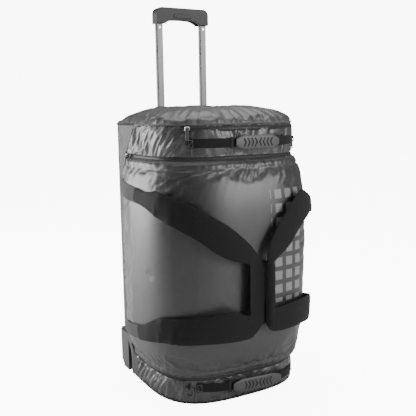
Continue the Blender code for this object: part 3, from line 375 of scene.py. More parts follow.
def add_piece(name, mesh, paint, body, replaced=(), parent=None):
    piece = bpy.data.objects.new(name, mesh)
    bpy.context.scene.collection.objects.link(piece)
    mesh.materials.clear()
    mesh.materials.append(paint.material)
    mesh.shade_smooth()
    mesh.set_sharp_from_angle(angle=math.radians(48))
    if replaced:
        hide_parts(*replaced)
    if body:
        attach(piece, body)
    return piece


def grid_mesh(name, rows, flat, seam=None, closed=False):
    """Quads through rows of points. flat gives each point's place along and across in metres."""
    columns = len(rows[0])
    mesh = bpy.data.meshes.new(name)
    quads = []
    for row in range(len(rows) - 1):
        for column in range(columns if closed else columns - 1):
            after = (column + 1) % columns
            quads.append((row * columns + column, row * columns + after,
                          (row + 1) * columns + after, (row + 1) * columns + column))
    mesh.from_pydata([point for row in rows for point in row], [], quads)
    lengths = [spot for row in flat for spot in row]
    layer = mesh.uv_layers.new(name="UVMap")
    for loop in mesh.loops:
        layer.data[loop.index].uv = lengths[loop.vertex_index]
    if seam:
        wear = mesh.attributes.new("seam", "FLOAT", "POINT")
        wear.data.foreach_set("value", [value for row in seam for value in row])
    return mesh


def ripple(x, y, seed):
    return noise.noise(Vector((x, y, seed)))


def fold(x, y, seed):
    """Sharp-crested folds, from about -1 to 1."""
    return 1.0 - 2.4 * abs(ripple(x, y, seed)) ** 0.8


def settle(piece, sewn, grow, pressure, frames, cap):
    """Cloth simulation: sewn points stay, the rest has a little more cloth than room."""
    before = [vert.co.copy() for vert in piece.data.vertices]
    held = piece.vertex_groups.new(name="sewn")
    held.add(sewn, 1.0, "REPLACE")
    cloth = piece.modifiers.new("settle", "CLOTH")
    rules = cloth.settings
    rules.vertex_group_mass = "sewn"
    rules.quality = 6
    rules.mass = 0.25
    rules.tension_stiffness = rules.compression_stiffness = 18.0
    rules.shear_stiffness = 9.0
    rules.bending_stiffness = 0.25
    rules.shrink_min = -grow
    rules.use_pressure = True
    rules.uniform_pressure_force = pressure
    rules.effector_weights.gravity = 0.0
    cloth.point_cache.frame_start = 1
    cloth.point_cache.frame_end = frames
    for step in range(1, frames + 1):
        bpy.context.scene.frame_set(step)
    seen = piece.evaluated_get(bpy.context.evaluated_depsgraph_get())
    after = [vert.co.copy() for vert in seen.to_mesh().vertices]
    seen.to_mesh_clear()
    piece.modifiers.remove(cloth)
    piece.vertex_groups.clear()
    bpy.context.scene.frame_set(1)
    for vert, old, new in zip(piece.data.vertices, before, after):
        move = new - old
        vert.co = old + move * min(1.0, cap / max(move.length, 1e-9))


def tarpaulin(name, dark, pale, gloss, printed=False):
    """Coated cloth: faint weave under the coating, cloudy gloss and seams worn pale."""
    paint = Paint(name, (dark + pale) / 2, 0.4, Specular_IOR_Level=0.55, Coat_Roughness=0.36,
                  Coat_Weight=gloss)
    where, flat = paint.place(), paint.place("UV")
    clouds = paint.cloud(where, 9.0, 5.0, 0.6)
    fine = paint.cloud(where, 260.0, 3.0)
    worn = paint.node("ShaderNodeAttribute", {"attribute_name": "seam"}, output="Fac")
    tone = paint.blend((clouds - 0.5) * 0.9 + 0.5, dark, pale)
    tone = paint.blend(worn * fine.step(0.3, 0.6) * 0.5, tone, pale * 2.2)
    if printed:
        tone = paint.blend(printed_shapes(paint, flat) * (fine * 0.2 + 0.8), tone, 0.20)
    paint.feed("Base Color", tone)
    paint.feed("Roughness", clouds * 0.12 + fine * 0.06 + 0.34 + worn * 0.10)
    across, along, _ = paint.split(flat)
    turn = 2 * math.pi / 0.0021
    threads = (across * turn).sine() * (along * turn).sine()
    paint.bump(threads * 0.10 + clouds * 0.9 + fine * 0.25, 0.35, 0.0012)
    return paint


def printed_shapes(paint, flat):
    """A plain pale pattern down the lid's far half: rows of small squares."""
    along, up, _ = paint.split(flat)
    pitch, edge = 0.034, 0.04
    field = None
    for place, low, high in ((along + 0.012, 0.060, 0.176), (up, 0.255, 0.545)):
        share = (place * (1.0 / pitch)).math("FRACT")
        span = share.step(0.18 - edge, 0.18 + edge) - share.step(0.82 - edge, 0.82 + edge)
        inside = place.step(low, low + 0.0004) - place.step(high, high + 0.0004)
        field = span * inside if field is None else field * span * inside
    return field


lid_paint = tarpaulin("lid_cloth", 0.014, 0.030, 0.30, printed=True)
wall_paint = tarpaulin("wall_cloth", 0.022, 0.042, 0.40)


def lid_depth(girth, z):
    """Distance in from the lid's zipped edge, and whether that edge runs upright."""
    side = LID_FAR_EDGE - SEAM_MARGIN - girth
    end = ZIP_HALF - SEAM_MARGIN - abs(z - ZIP_MID)
    radius = LID_CORNER_R - SEAM_MARGIN
    if side < radius and end < radius:
        depth = radius - math.hypot(radius - side, radius - end)
    else:
        depth = min(side, end)
    return depth, 1.0 / (1.0 + math.exp((side - end) / 0.012))


FLAP_WIDTH = 0.019         # storm flap, stitched down along the lid's zipped edge
SEAM_GAP = 0.0012
LID_ROWS, LID_ACROSS, LID_CORNER_STEPS = 130, 170, 18


def lid_relief(girth, z):
    depth, upright = lid_depth(girth, z)
    top = z > ZIP_MID
    across = (ripple(girth * 75.0, z * 12.0, 1.3) * (1 - upright)
              + ripple(z * 75.0, girth * 12.0, 2.1) * upright)
    slant = girth + (0.55 if top else -0.3) * (UPPER_ZIP_Z - z if top else z - LOWER_ZIP_Z)
    gathers = fold(slant * 42.0, z * 6.0, 4.7) * (1 - upright) + fold(z * 38.0, girth * 6.0, 8.2) * upright
    strength = 0.35 + 0.65 * min(max((girth + 0.30) / 0.30, 0.0), 1.0)
    if not top:
        strength = min(strength + 0.15, 1.0)
    if depth < FLAP_WIDTH:
        share = max(depth, 0.0) / FLAP_WIDTH
        body = math.sin(math.pi * share) ** 0.5
        lift = 0.0034 * body + 0.0030 * across * body * strength
    else:
        past = depth - FLAP_WIDTH
        reach = (0.024 if top else 0.016) * (0.5 + 1.6 * abs(ripple(girth * 14, z * 14, 5.5)))
        lift = (0.0042 * gathers - 0.0010) * strength * math.exp(-past / reach) * min(past / 0.005, 1.0)
    lift -= 0.0022 * math.exp(-abs(depth - FLAP_WIDTH) / 0.0012)
    shell_seam = girth + edge_girth(z)
    lift += 0.0016 * fold(z * 26.0, girth * 4.0, 3.1) * math.exp(-shell_seam / 0.022)
    lift += 0.0030 * ripple(girth * 3.5, z * 3.0, 9.4) * min(depth / 0.08, 1.0)
    return lift


def make_lid():
    low, high = LOWER_ZIP_Z + SEAM_MARGIN, UPPER_ZIP_Z - SEAM_MARGIN
    radius = LID_CORNER_R - SEAM_MARGIN
    corner = LID_FAR_EDGE - LID_CORNER_R
    rounded = [(corner + radius * math.sin(turn), radius * (1 - math.cos(turn)))
               for turn in spread(0, math.pi / 2, LID_CORNER_STEPS)[1:]]
    rows, flat, seam = [], [], []
    for share in spread(0.0, 1.0, LID_ROWS):
        start = SEAM_GAP - edge_girth(low + (high - low) * share)
        stations = [(girth, 0.0) for girth in spread(start, corner, LID_ACROSS)] + rounded
        points = [(girth, low + drop + (high - low - 2 * drop) * share) for girth, drop in stations]
        rows.append([skin(girth, z, lid_relief(girth, z)) for girth, z in points])
        flat.append(points)
        seam.append([max(math.exp(-abs(lid_depth(girth, z)[0] - FLAP_WIDTH) / 0.003),
                         math.exp(-max(lid_depth(girth, z)[0], 0.0) / 0.002)) for girth, z in points])
    mesh = grid_mesh("lid_cloth", rows, flat, seam)
    return add_piece("lid_cloth", mesh, lid_paint, "lid", ["lid"])


lid = make_lid()
lid_columns = LID_ACROSS + 1 + LID_CORNER_STEPS
held = [spot for spot, vert in enumerate(lid.data.attributes["seam"].data) if vert.value > 0.45]
held += [row * lid_columns for row in range(LID_ROWS + 1)]
settle(lid, held, 0.018, 0.6, 8, 0.004)


BAND_SEAM = -0.172        # upright seam in both bands; the cloth is loose on its near side


def make_wall(name, low, high, start, across, relief, paint, node, up):
    rows, flat, seam = [], [], []
    for step in range(up + 1):
        z = low + (high - low) * step / up
        line = [(girth, z) for girth in spread(start(z), edge_girth(z) - SEAM_GAP, across)]
        rows.append([skin(girth, z, relief(girth, z)) for girth, z in line])
        flat.append(line)
        near_edge = math.exp(-min(step, up - step) * (high - low) / up / 0.003)
        seam.append([near_edge] * len(line))
    piece = add_piece(name, grid_mesh(name, rows, flat, seam), paint, "bag", [node])
    columns = len(rows[0])
    sewn = [row * columns + column for row in range(len(rows)) for column in range(columns)
            if row in (0, len(rows) - 1) or column in (0, columns - 1)
            or abs(flat[row][column][0] - BAND_SEAM) < 0.002]
    settle(piece, sewn, 0.035, 1.5, 10, 0.005)
    return piece


def band_relief(girth, z, low, high, seed):
    rise = (z - low) / (high - low)
    held = math.sin(math.pi * min(max(rise, 0.0), 1.0)) ** 0.5
    lift = 0.0010 * ripple(girth * 40, z * 10, seed) * held
    if girth < BAND_SEAM:
        loose = min((BAND_SEAM - girth) / 0.02, 1.0)
        slant = girth * 0.75 - z * 0.66
        lift += loose * held * (0.0045 * fold(slant * 30.0, (girth + z) * 7.0, seed + 1.0)
                                + 0.0018 * fold(slant * 70.0, (girth - z) * 16.0, seed + 2.0))
    else:
        lift += held * 0.0022 * fold(girth * 24.0, z * 7.0, seed + 3.0)
    lift -= 0.0016 * math.exp(-abs(girth - BAND_SEAM) / 0.0015)
    return lift


top_low, top_high = UPPER_ZIP_Z + SEAM_MARGIN, RIM_Z - 0.0006
bottom_low, bottom_high = BASE_Z + 0.0042, LOWER_ZIP_Z - SEAM_MARGIN
make_wall("top_band_cloth", top_low, top_high, lambda z: SEAM_GAP - edge_girth(z), 300,
          lambda girth, z: band_relief(girth, z, top_low, top_high, 3.0), wall_paint, "top_band", 34)
make_wall("bottom_band_cloth", bottom_low, bottom_high, lambda z: SEAM_GAP - edge_girth(z), 300,
          lambda girth, z: band_relief(girth, z, bottom_low, bottom_high, 7.7), wall_paint,
          "bottom_band", 28)


def far_side_edge(z):
    radius = LID_CORNER_R + SEAM_MARGIN
    low, high = LOWER_ZIP_Z - SEAM_MARGIN + 0.0012, UPPER_ZIP_Z + SEAM_MARGIN - 0.0012
    past = max(low + radius - z, z - (high - radius), 0.0)
    return LID_FAR_EDGE - LID_CORNER_R + math.sqrt(max(radius ** 2 - past ** 2, 0.0))


def far_side_relief(girth, z):
    depth = girth - far_side_edge(z)
    return (0.0035 * fold(z * 26.0, girth * 5.0, 6.1) * math.exp(-max(depth, 0.0) / 0.03)
            + 0.003 * ripple(z * 6, girth * 8, 2.0)) * min(max(depth, 0.0) / 0.006, 1.0)


make_wall("far_side_cloth", LOWER_ZIP_Z - SEAM_MARGIN + 0.0012, UPPER_ZIP_Z + SEAM_MARGIN - 0.0012,
          far_side_edge, 44, far_side_relief, wall_paint, "far_side_panel", 130)


def close_ends(mesh, around, first=True):
    """Caps the last ring of points, and the first one, and turns every face outwards."""
    tools = bmesh.new()
    tools.from_mesh(mesh)
    tools.verts.ensure_lookup_table()
    if first:
        tools.faces.new(tools.verts[:around])
    tools.faces.new(tools.verts[-around:])
    bmesh.ops.recalc_face_normals(tools, faces=tools.faces)
    tools.to_mesh(mesh)
    tools.free()


def make_top():
    """The soft crowned end: cloth gathered into the rim seam."""
    count = 220
    turns = [heading_at(girth) for girth in spread(-edge_girth(RIM_Z), edge_girth(RIM_Z), count)]
    turns += spread(turns[-1], turns[0] + 2 * math.pi, 130)[1:-1]
    shares = [1.0, 0.985, 0.97, 0.955, 0.94, 0.92, 0.90, 0.87, 0.84, 0.80, 0.75, 0.69, 0.62,
              0.54, 0.45, 0.35, 0.24, 0.12, 0.02]
    rows, flat, seam = [], [], []
    for share in shares:
        row, lengths = [], []
        for turn in turns:
            spot = section(turn, RIM_Z)
            x, y = spot.x * share, (spot.y - middle_y) * share
            girth = turn * 0.22
            inward = (1 - share) * 0.2
            back = max(math.sin(turn), 0.0)
            gather = 0.0060 * fold(girth * 34.0, inward * 10.0, 5.0) * math.exp(-inward / 0.035)
            gather += 0.0030 * fold(x * 16.0 + y * 9.0, y * 10.0 - x * 5.0, 11.0)
            gather *= min(inward / 0.004, 1.0) * (1.0 - 0.7 * back)
            height = RIM_Z + 0.003 + TOP_CROWN * (1 - share ** 4)
            row.append(Vector((x, y + middle_y, height + gather - 0.003 * (1 - share ** 2))))
            lengths.append((x, y))
        rows.append(row)
        flat.append(lengths)
        seam.append([math.exp(-(1 - share) * 0.2 / 0.004)] * len(row))
    mesh = grid_mesh("top_cloth", rows, flat, seam, closed=True)
    around = len(rows[-1])
    close_ends(mesh, around, first=False)
    piece = add_piece("top_cloth", mesh, wall_paint, "bag", ["top_panel"])
    settle(piece, list(range(around)), 0.03, 1.0, 10, 0.005)
    return piece


top = make_top()


# ---- Piping and bindings ----
# A grey cord piping is sewn round the top rim, a dark bound edge runs round the foot, and
# a folded tape covers each seam between the cloth and the shell.
def tube(name, points, radius, paint, body, flatten=1.0):
    """A round or flattened bar along points."""
    sides = 8
    rows, flat = [], []
    length = 0.0
    for place, point in enumerate(points):
        before = points[max(place - 1, 0)]
        run = (points[min(place + 1, len(points) - 1)] - before).normalized()
        length += (point - before).length
        level = run.cross(Vector((0, 0, 1)))
        if level.length < 0.2:
            level = Vector((point.x, point.y - middle_y, 0.0))
        level.normalize()
        upward = level.cross(run).normalized()
        rows.append([point + (level * math.cos(turn) * flatten + upward * math.sin(turn)) * radius
                     for turn in (2 * math.pi * side / sides for side in range(sides))])
        flat.append([(length, radius * 2 * math.pi * side / sides) for side in range(sides)])
    mesh = grid_mesh(name, rows, flat, closed=True)
    close_ends(mesh, sides)
    return add_piece(name, mesh, paint, body)


def cloth_tape(name, dark, pale, pitch, roughness=0.8):
    """Woven tape: ribs along its length, cross threads and slight fading."""
    paint = Paint(name, (dark + pale) / 2, roughness, Specular_IOR_Level=0.22, Sheen_Weight=0.04,
                  Sheen_Roughness=0.5)
    along, across, _ = paint.split(paint.place("UV"))
    turn = 2 * math.pi / pitch
    ribs = (across * turn).sine()
    herring = (along * turn * 0.8 + (abs((across * turn * 0.25).sine())) * 3.0).sine()
    fade = paint.cloud(paint.place(), 18.0, 5.0)
    threads = ribs * 0.5 + herring * 0.5
    paint.feed("Base Color", paint.blend(fade * 0.8 + threads * 0.12 + 0.05, dark, pale))
    paint.feed("Roughness", fade * 0.15 + roughness - 0.1)
    paint.bump(threads * 0.5 + 0.5, 0.5, 0.0007)
    return paint


piping_paint = cloth_tape("piping_tape", 0.05, 0.11, 0.0016, 0.5)
binding_paint = cloth_tape("binding_tape", 0.012, 0.030, 0.0016)

rim_girths = spread(-edge_girth(RIM_Z), edge_girth(RIM_Z), 260)
rim_line = [skin(girth, RIM_Z + 0.001, 0.0005) + Vector((0, 0, 0.0016 * ripple(girth * 22, 0.0, 4.4)))
            for girth in rim_girths]
tube("rim_piping", rim_line, 0.0024, piping_paint, "bag")
tube("rim_shadow_tape", [skin(girth, RIM_Z - 0.0034, -0.0004) for girth in rim_girths], 0.0018,
     binding_paint, "bag", flatten=0.8)
foot_line = [skin(girth, BASE_Z + 0.004, -0.0005) for girth in spread(-edge_girth(0), edge_girth(0), 260)]
tube("foot_binding", foot_line, 0.0034, binding_paint, "bag")
back_turns = spread(heading_at(rim_girths[-1]), heading_at(rim_girths[0]) + 2 * math.pi, 90)
tube("back_rim_binding", [section(turn, RIM_Z + 0.001) for turn in back_turns], 0.0026,
     binding_paint, "bag")
for word, side in (("near", -1), ("far", 1)):
    seam_line = [skin(side * edge_girth(z), z, -0.0004) for z in spread(BASE_Z + 0.006, RIM_Z, 90)]
    tube(f"{word}_shell_binding", seam_line, 0.0024, binding_paint, "bag")


# ---- Zips ----
# Coil zips: a dark tape carries two rows of moulded teeth that meet in the middle. Folded
# tabs cover the main zip's two ends at the shell seam.
def flat_path(stations, gaps):
    """A smooth line through stations of equal-length number tuples."""
    points = []
    for place in range(len(stations) - 1):
        quad = (stations[max(place - 1, 0)], stations[place], stations[place + 1],
                stations[min(place + 2, len(stations) - 1)])
        for step in range(gaps):
            t = step / gaps
            points.append(tuple(0.5 * (2 * b + (c - a) * t + (2 * a - 5 * b + 4 * c - d) * t * t
                                       + (3 * b - a - 3 * c + d) * t ** 3) for a, b, c, d in zip(*quad)))
    points.append(tuple(stations[-1]))
    return points


def web(name, points, thick, paint, body, replaced=(), bend=None, around=22, edge=0.3):
    """Webbing with rounded edges. Points are (girth, z, lift, width), or (girth, z, lift, half
    across in girth, half across in z). bend gives extra lift from the place across, -1 to 1,
    and the share of the length."""
    rows, flat = [], []
    length = 0.0
    for place, (girth, z, lift, *half) in enumerate(points):
        before, after = points[max(place - 1, 0)], points[min(place + 1, len(points) - 1)]
        run = Vector((after[0] - before[0], after[1] - before[1])).normalized()
        if len(half) == 1:
            half = (-run.y * half[0] / 2, run.x * half[0] / 2)
        if place:
            length += math.hypot(girth - points[place - 1][0], z - points[place - 1][1])
        row, lengths = [], []
        for side in range(around):
            turn = 2 * math.pi * side / around
            across = math.copysign(abs(math.cos(turn)) ** edge, math.cos(turn))
            rise = math.copysign(abs(math.sin(turn)) ** 0.7, math.sin(turn)) * thick / 2
            extra = bend(across, place / (len(points) - 1)) if bend else 0.0
            row.append(skin(girth + half[0] * across, z + half[1] * across, lift + rise + extra))
            lengths.append((length, across * math.hypot(*half)))
        rows.append(row)
        flat.append(lengths)
    mesh = grid_mesh(name, rows, flat, closed=True)
    close_ends(mesh, around)
    return add_piece(name, mesh, paint, body, replaced)


def blocks(name, frames, size, paint, body, taper=0.75):
    """Many small tapered blocks in one mesh, each from (centre, along, out)."""
    verts, faces = [], []
    for centre, along, out in frames:
        side = out.cross(along).normalized()
        first = len(verts)
        for level, share in ((-1, 1.0), (1, taper)):
            for a, b in ((-1, -1), (1, -1), (1, 1), (-1, 1)):
                verts.append(centre + along * a * size[0] / 2 * share + side * b * size[1] / 2 * share
                             + out * level * size[2] / 2)
        faces += [(first + 3, first + 2, first + 1, first), (first + 4, first + 5, first + 6, first + 7)]
        faces += [(first + a, first + b, first + b + 4, first + a + 4)
                  for a, b in ((0, 1), (1, 2), (2, 3), (3, 0))]
    mesh = bpy.data.meshes.new(name)
    mesh.from_pydata(verts, [], faces)
    return add_piece(name, mesh, paint, body)


def even_line(points, pitch):
    """Evenly spaced (girth, z, lift, direction) along flat points."""
    found, carry = [], 0.0
    for first, second in zip(points, points[1:]):
        run = Vector((second[0] - first[0], second[1] - first[1]))
        length = run.length
        at = carry
        while at < length:
            share = at / length
            found.append((first[0] + run.x * share, first[1] + run.y * share,
                          first[2] + (second[2] - first[2]) * share, run.normalized()))
            at += pitch
        carry = at - length
    return found


def skin_frames(line, shift=0.0):
    """Block frames standing on the skin along an even line, moved sideways by shift."""
    made = []
    for girth, z, lift, run in line:
        girth, z = girth - run.y * shift, z + run.x * shift
        centre = skin(girth, z, lift)
        ahead = skin(girth + run.x * 0.001, z + run.y * 0.001, lift)
        made.append((centre, (ahead - centre).normalized(), outward(heading_at(girth), z)))
    return made


tape_paint = cloth_tape("zip_tape", 0.02, 0.045, 0.0012, 0.75)
teeth_paint = Paint("zip_teeth", 0.03, 0.35)
teeth_paint.mottle(0.02, 0.05, 40.0)
teeth_paint.feed("Roughness", teeth_paint.cloud(teeth_paint.place(), 300.0) * 0.2 + 0.28)

top_start = 0.004 - edge_girth(UPPER_ZIP_Z)
low_start = 0.004 - edge_girth(LOWER_ZIP_Z)
turn_girth = LID_FAR_EDGE - LID_CORNER_R
low_turn = LOWER_ZIP_Z + LID_CORNER_R
quarter = spread(0, math.pi / 2, 12)
zip_line = [(girth, UPPER_ZIP_Z) for girth in spread(top_start, turn_girth, 60)]
zip_line += [(turn_girth + LID_CORNER_R * math.sin(turn), UPPER_ZIP_Z - LID_CORNER_R * (1 - math.cos(turn)))
             for turn in quarter[1:]]
zip_line += [(LID_FAR_EDGE, z) for z in spread(UPPER_ZIP_Z - LID_CORNER_R, low_turn, 36)[1:]]
zip_line += [(turn_girth + LID_CORNER_R * math.cos(turn), low_turn - LID_CORNER_R * math.sin(turn))
             for turn in quarter[1:]]
zip_line += [(girth, LOWER_ZIP_Z) for girth in spread(turn_girth, low_start, 60)[1:]]
web("main_zip_tape_cloth", [(girth, z, -0.0008, 0.0098) for girth, z in zip_line], 0.0013,
    tape_paint, "bag", ["main_zip_tape"])
main_teeth = even_line([(girth, z, 0.0004) for girth, z in zip_line], 0.0021)
blocks("main_zip_teeth", skin_frames(main_teeth, 0.0010) + skin_frames(main_teeth, -0.0010),
       (0.0013, 0.0019, 0.0014), teeth_paint, "bag")

POCKET_ZIP_Z = RIM_Z - 0.009
pocket_line = [(girth, POCKET_ZIP_Z, 0.0032, 0.0118) for girth in spread(-0.185, 0.205, 80)]
web("pocket_zip_cloth", pocket_line, 0.0014, tape_paint, "bag", ["pocket_zip_tape"])
pocket_teeth = even_line([(girth, z, 0.0042) for girth, z, _, _ in pocket_line], 0.0021)
blocks("pocket_zip_teeth", skin_frames(pocket_teeth, 0.0009) + skin_frames(pocket_teeth, -0.0009),
       (0.0013, 0.0018, 0.0012), teeth_paint, "bag")
for word, z, low_shift in (("upper", 0.612, -0.012), ("lower", 0.089, -0.016)):
    tab = [(0.010 - edge_girth(z + rise), z + rise, 0.0042, 0.013)
           for rise in spread(low_shift, -low_shift, 8)]
    web(f"{word}_zip_end_tab", tab, 0.0022, tape_paint, "bag")
dress(steel_paint, "upper_zip_slider", "lower_zip_slider", "pocket_zip_slider")
puller_paint = Paint("puller", 0.05, 0.45)
puller_paint.mottle(0.03, 0.08, 90.0)
puller_paint.feed("Roughness", puller_paint.cloud(puller_paint.place(), 200.0) * 0.2 + 0.36)
dress(puller_paint, "upper_zip_pull", "lower_zip_pull", "pocket_zip_pull")


# ---- Stitching ----
# Lock stitching in grey thread: round the storm flap's inner edge, along the lid's zipped
# edge and up the band seams.
thread_paint = Paint("thread", 0.12, 0.6)
thread_paint.mottle(0.08, 0.18, 400.0)


def stitches(name, points, body, pitch=0.0046):
    blocks(name, skin_frames(even_line(points, pitch)), (0.0032, 0.0009, 0.0008), thread_paint, body)


def lid_stitch_line(inset):
    """The zip's line moved in by inset, riding on the lid's folds."""
    line = []
    for girth, z in zip_line:
        inner_girth = min(girth, turn_girth)
        inner_z = min(max(z, low_turn), UPPER_ZIP_Z - LID_CORNER_R)
        away = Vector((girth - inner_girth, z - inner_z))
        spot = (girth - inset, z)
        if away.length > 1e-6:
            away *= (away.length - inset) / away.length
            spot = (inner_girth + away.x, inner_z + away.y)
        line.append((*spot, lid_relief(*spot) + 0.0006))
    return line


stitches("storm_flap_stitches", lid_stitch_line(SEAM_MARGIN + FLAP_WIDTH), "lid")
stitches("lid_edge_stitches", lid_stitch_line(SEAM_MARGIN + 0.004), "lid")
for word, low, high, seed in (("top", top_low, top_high - 0.016, 3.0),
                              ("bottom", bottom_low + 0.006, bottom_high, 7.7)):
    full_low, full_high = (top_low, top_high) if word == "top" else (bottom_low, bottom_high)
    beside = BAND_SEAM + 0.004
    seam_points = [(beside, z, band_relief(beside, z, full_low, full_high, seed) + 0.0005)
                   for z in spread(low, high, 20)]
    stitches(f"{word}_band_seam_stitches", seam_points, "bag")


# ---- Carry handles and their wrap ----
# Two loops of soft dark webbing, sewn to anchor webbing at the shell seams, come
# together at the front. The anchors' paler grey is painted light where they lie flat on the sides.
# The near loop carries a padded wrap that closes round the far one.
web_paint = cloth_tape("webbing", 0.004, 0.010, 0.0024)
# Painted light: the anchors take the webbing's weave in a paler grey for the light on their flat runs.
anchor_lit_paint = cloth_tape("anchor_webbing_painted_light", 0.035, 0.075, 0.0024)
GRIP_LIFT = 0.026
# (outer edge's girth and z, inner edge's girth and z, lift) along each loop
near_loop = [
    (-0.345, 0.548, -0.345, 0.514, 0.0095), (-0.300, 0.542, -0.300, 0.506, 0.0105),
    (-0.272, 0.544, -0.272, 0.498, 0.012), (-0.243, 0.547, -0.240, 0.484, 0.014),
    (-0.191, 0.530, -0.191, 0.462, 0.018), (-0.147, 0.508, -0.149, 0.436, 0.021),
    (-0.110, 0.485, -0.115, 0.407, 0.024), (-0.079, 0.462, -0.081, 0.386, 0.026),
    (-0.044, 0.430, -0.046, 0.375, 0.027), (-0.010, 0.393, -0.033, 0.369, 0.027),
    (0.006, 0.360, -0.031, 0.350, 0.027), (0.010, 0.300, -0.031, 0.300, 0.027),
    (0.010, 0.262, -0.031, 0.262, 0.027), (0.006, 0.222, -0.031, 0.243, 0.027),
    (-0.018, 0.191, -0.042, 0.246, 0.027), (-0.050, 0.184, -0.066, 0.256, 0.026),
    (-0.085, 0.184, -0.090, 0.259, 0.025), (-0.147, 0.184, -0.140, 0.251, 0.020),
    (-0.205, 0.180, -0.200, 0.244, 0.016), (-0.240, 0.177, -0.250, 0.236, 0.013),
    (-0.274, 0.170, -0.280, 0.222, 0.012), (-0.305, 0.164, -0.307, 0.207, 0.0105),
    (-0.345, 0.155, -0.345, 0.194, 0.0095)]
far_loop = [
    (0.345, 0.550, 0.345, 0.514, 0.0095), (0.300, 0.532, 0.300, 0.490, 0.0105),
    (0.250, 0.513, 0.250, 0.472, 0.013), (0.205, 0.509, 0.212, 0.466, 0.017),
    (0.170, 0.522, 0.180, 0.474, 0.020), (0.135, 0.535, 0.152, 0.464, 0.023),
    (0.108, 0.519, 0.130, 0.452, 0.025), (0.085, 0.498, 0.112, 0.436, 0.026),
    (0.052, 0.458, 0.085, 0.405, 0.027), (0.036, 0.434, 0.062, 0.386, 0.027),
    (0.024, 0.412, 0.046, 0.374, 0.027), (0.018, 0.385, 0.034, 0.362, 0.027),
    (0.018, 0.340, 0.034, 0.340, 0.027), (0.018, 0.262, 0.034, 0.262, 0.027),
    (0.018, 0.228, 0.037, 0.252, 0.027), (0.026, 0.198, 0.046, 0.251, 0.027),
    (0.055, 0.188, 0.070, 0.253, 0.026), (0.098, 0.188, 0.100, 0.256, 0.025),
    (0.138, 0.188, 0.138, 0.257, 0.022), (0.180, 0.182, 0.175, 0.253, 0.018),
    (0.215, 0.175, 0.210, 0.243, 0.015), (0.280, 0.165, 0.280, 0.224, 0.011),
    (0.345, 0.157, 0.345, 0.197, 0.0095)]


def arm_bend(across, share):
    """Soft webbing: arms crown a little, the grip's middle dishes in."""
    grip = math.exp(-((share - 0.5) / 0.11) ** 2)
    creases = sum(math.exp(-((share - place - 0.012 * across) / 0.007) ** 2)
                  for place in (0.135, 0.175, 0.815, 0.86))
    return (0.0025 * (1 - across * across) * (1 - grip) - 0.006 * (1 - across * across) * grip
            + 0.0020 * ripple(share * 16.0, across * 0.8, 6.6) + 0.0028 * creases)


near_points, far_points = ([((a + c) / 2, (b + d) / 2, lift, (a - c) / 2, (b - d) / 2)
                            for a, b, c, d, lift in flat_path(loop, 8)] for loop in (near_loop, far_loop))
web("near_carry_webbing", near_points, 0.0036, web_paint, "near_carry_handle",
    ["near_carry_strap"], arm_bend, 30)
web("far_carry_webbing", far_points, 0.0036, web_paint, "far_carry_handle",
    ["far_carry_strap"], lambda across, share: 0.0015 * (1 - across * across), 30)
for word, side, body, heights in (
        ("near", -1, "near_carry_handle", ((0.538, 0.527), (0.148, 0.178))),
        ("far", 1, "far_carry_handle", ((0.538, 0.530), (0.148, 0.178)))):
    for place, (outer_z, inner_z) in zip(("upper", "lower"), heights):
        patch = flat_path([(side * (edge_girth(outer_z) - 0.004), outer_z, 0.0050, 0.040),
                           (side * 0.410, (outer_z + inner_z) / 2, 0.0055, 0.039),
                           (side * 0.330, inner_z, 0.0065, 0.037)], 8)
        web(f"{word}_{place}_anchor", patch, 0.0026, anchor_lit_paint, body)

# second layers of webbing sewn over the arms leave a step across each of them
for word, low_z, high_z in (("upper", 0.36, 0.6), ("lower", 0.1, 0.25)):
    layer = [(girth, z, lift + 0.0036, across * 1.01, up * 1.01)
             for girth, z, lift, across, up in near_points
             if low_z < z < high_z and -0.202 < girth < -0.030]
    web(f"near_{word}_arm_layer", layer, 0.0030, web_paint, "near_carry_handle", (),
        lambda across, share: 0.0022 * (1 - across * across), 30)


wrap_spot = skin(0.026, 0.300, GRIP_LIFT - 0.002)


def wrap_leaf(name, low_turn_deg, high_turn_deg, low_z, high_z, radius, thick, body, node):
    """A curved padded leaf round the far handle's middle, with rounded corners."""
    rows, flat = [], []
    for step in range(27):
        share = step / 26
        z = low_z + (high_z - low_z) * share
        tuck = 0.18 * (1 - min(min(share, 1 - share) / 0.12, 1.0)) ** 2
        first = math.radians(low_turn_deg + (high_turn_deg - low_turn_deg) * tuck * 0.4)
        last = math.radians(high_turn_deg - (high_turn_deg - low_turn_deg) * tuck)
        outer, inner = [], []
        for turn in spread(first, last, 16):
            puff = 0.0008 * ripple(turn * 2.0, z * 30.0, 7.0)
            edge = math.sin(math.pi * min(max((turn - first) / (last - first), 0.02), 0.98)) ** 0.3
            for reach, line in ((radius + puff, outer), (radius - thick * edge, inner)):
                line.append(wrap_spot + Vector((math.cos(turn) * reach, math.sin(turn) * reach,
                                                z - wrap_spot.z)))
        rows.append(outer + inner[::-1])
        flat.append([(z, radius * place * 0.1) for place in range(len(outer) * 2)])
    mesh = grid_mesh(name, rows, flat, closed=True)
    close_ends(mesh, len(rows[0]))
    piece = add_piece(name, mesh, web_paint, body, [node])
    return piece


wrap_leaf("wrap_back_leaf", 40, 172, 0.212, 0.368, 0.0165, 0.0035, "near_carry_handle", "wrap_sleeve")
wrap_leaf("wrap_front_leaf", 206, 292, 0.212, 0.368, 0.0170, 0.0040, "wrap_flap", "wrap_flap")


# ---- End handles and rings ----
# Flat webbing is sewn down at both ends of each end of the bag. Its bowed middle carries a
# moulded rubber pad with rows of chevron hollows, whose shade is painted as flat near-black
# marks on the pad, and a ring hangs beside it.
pad_paint = Paint("handle_pad", 0.05, 0.5)
pad_grain = pad_paint.cloud(pad_paint.place(), 700.0, 2.0)
pad_paint.mottle(0.035, 0.07, 50.0)
pad_paint.feed("Roughness", pad_grain * 0.2 + 0.4)
pad_paint.bump(pad_grain, 0.2, 0.0004)
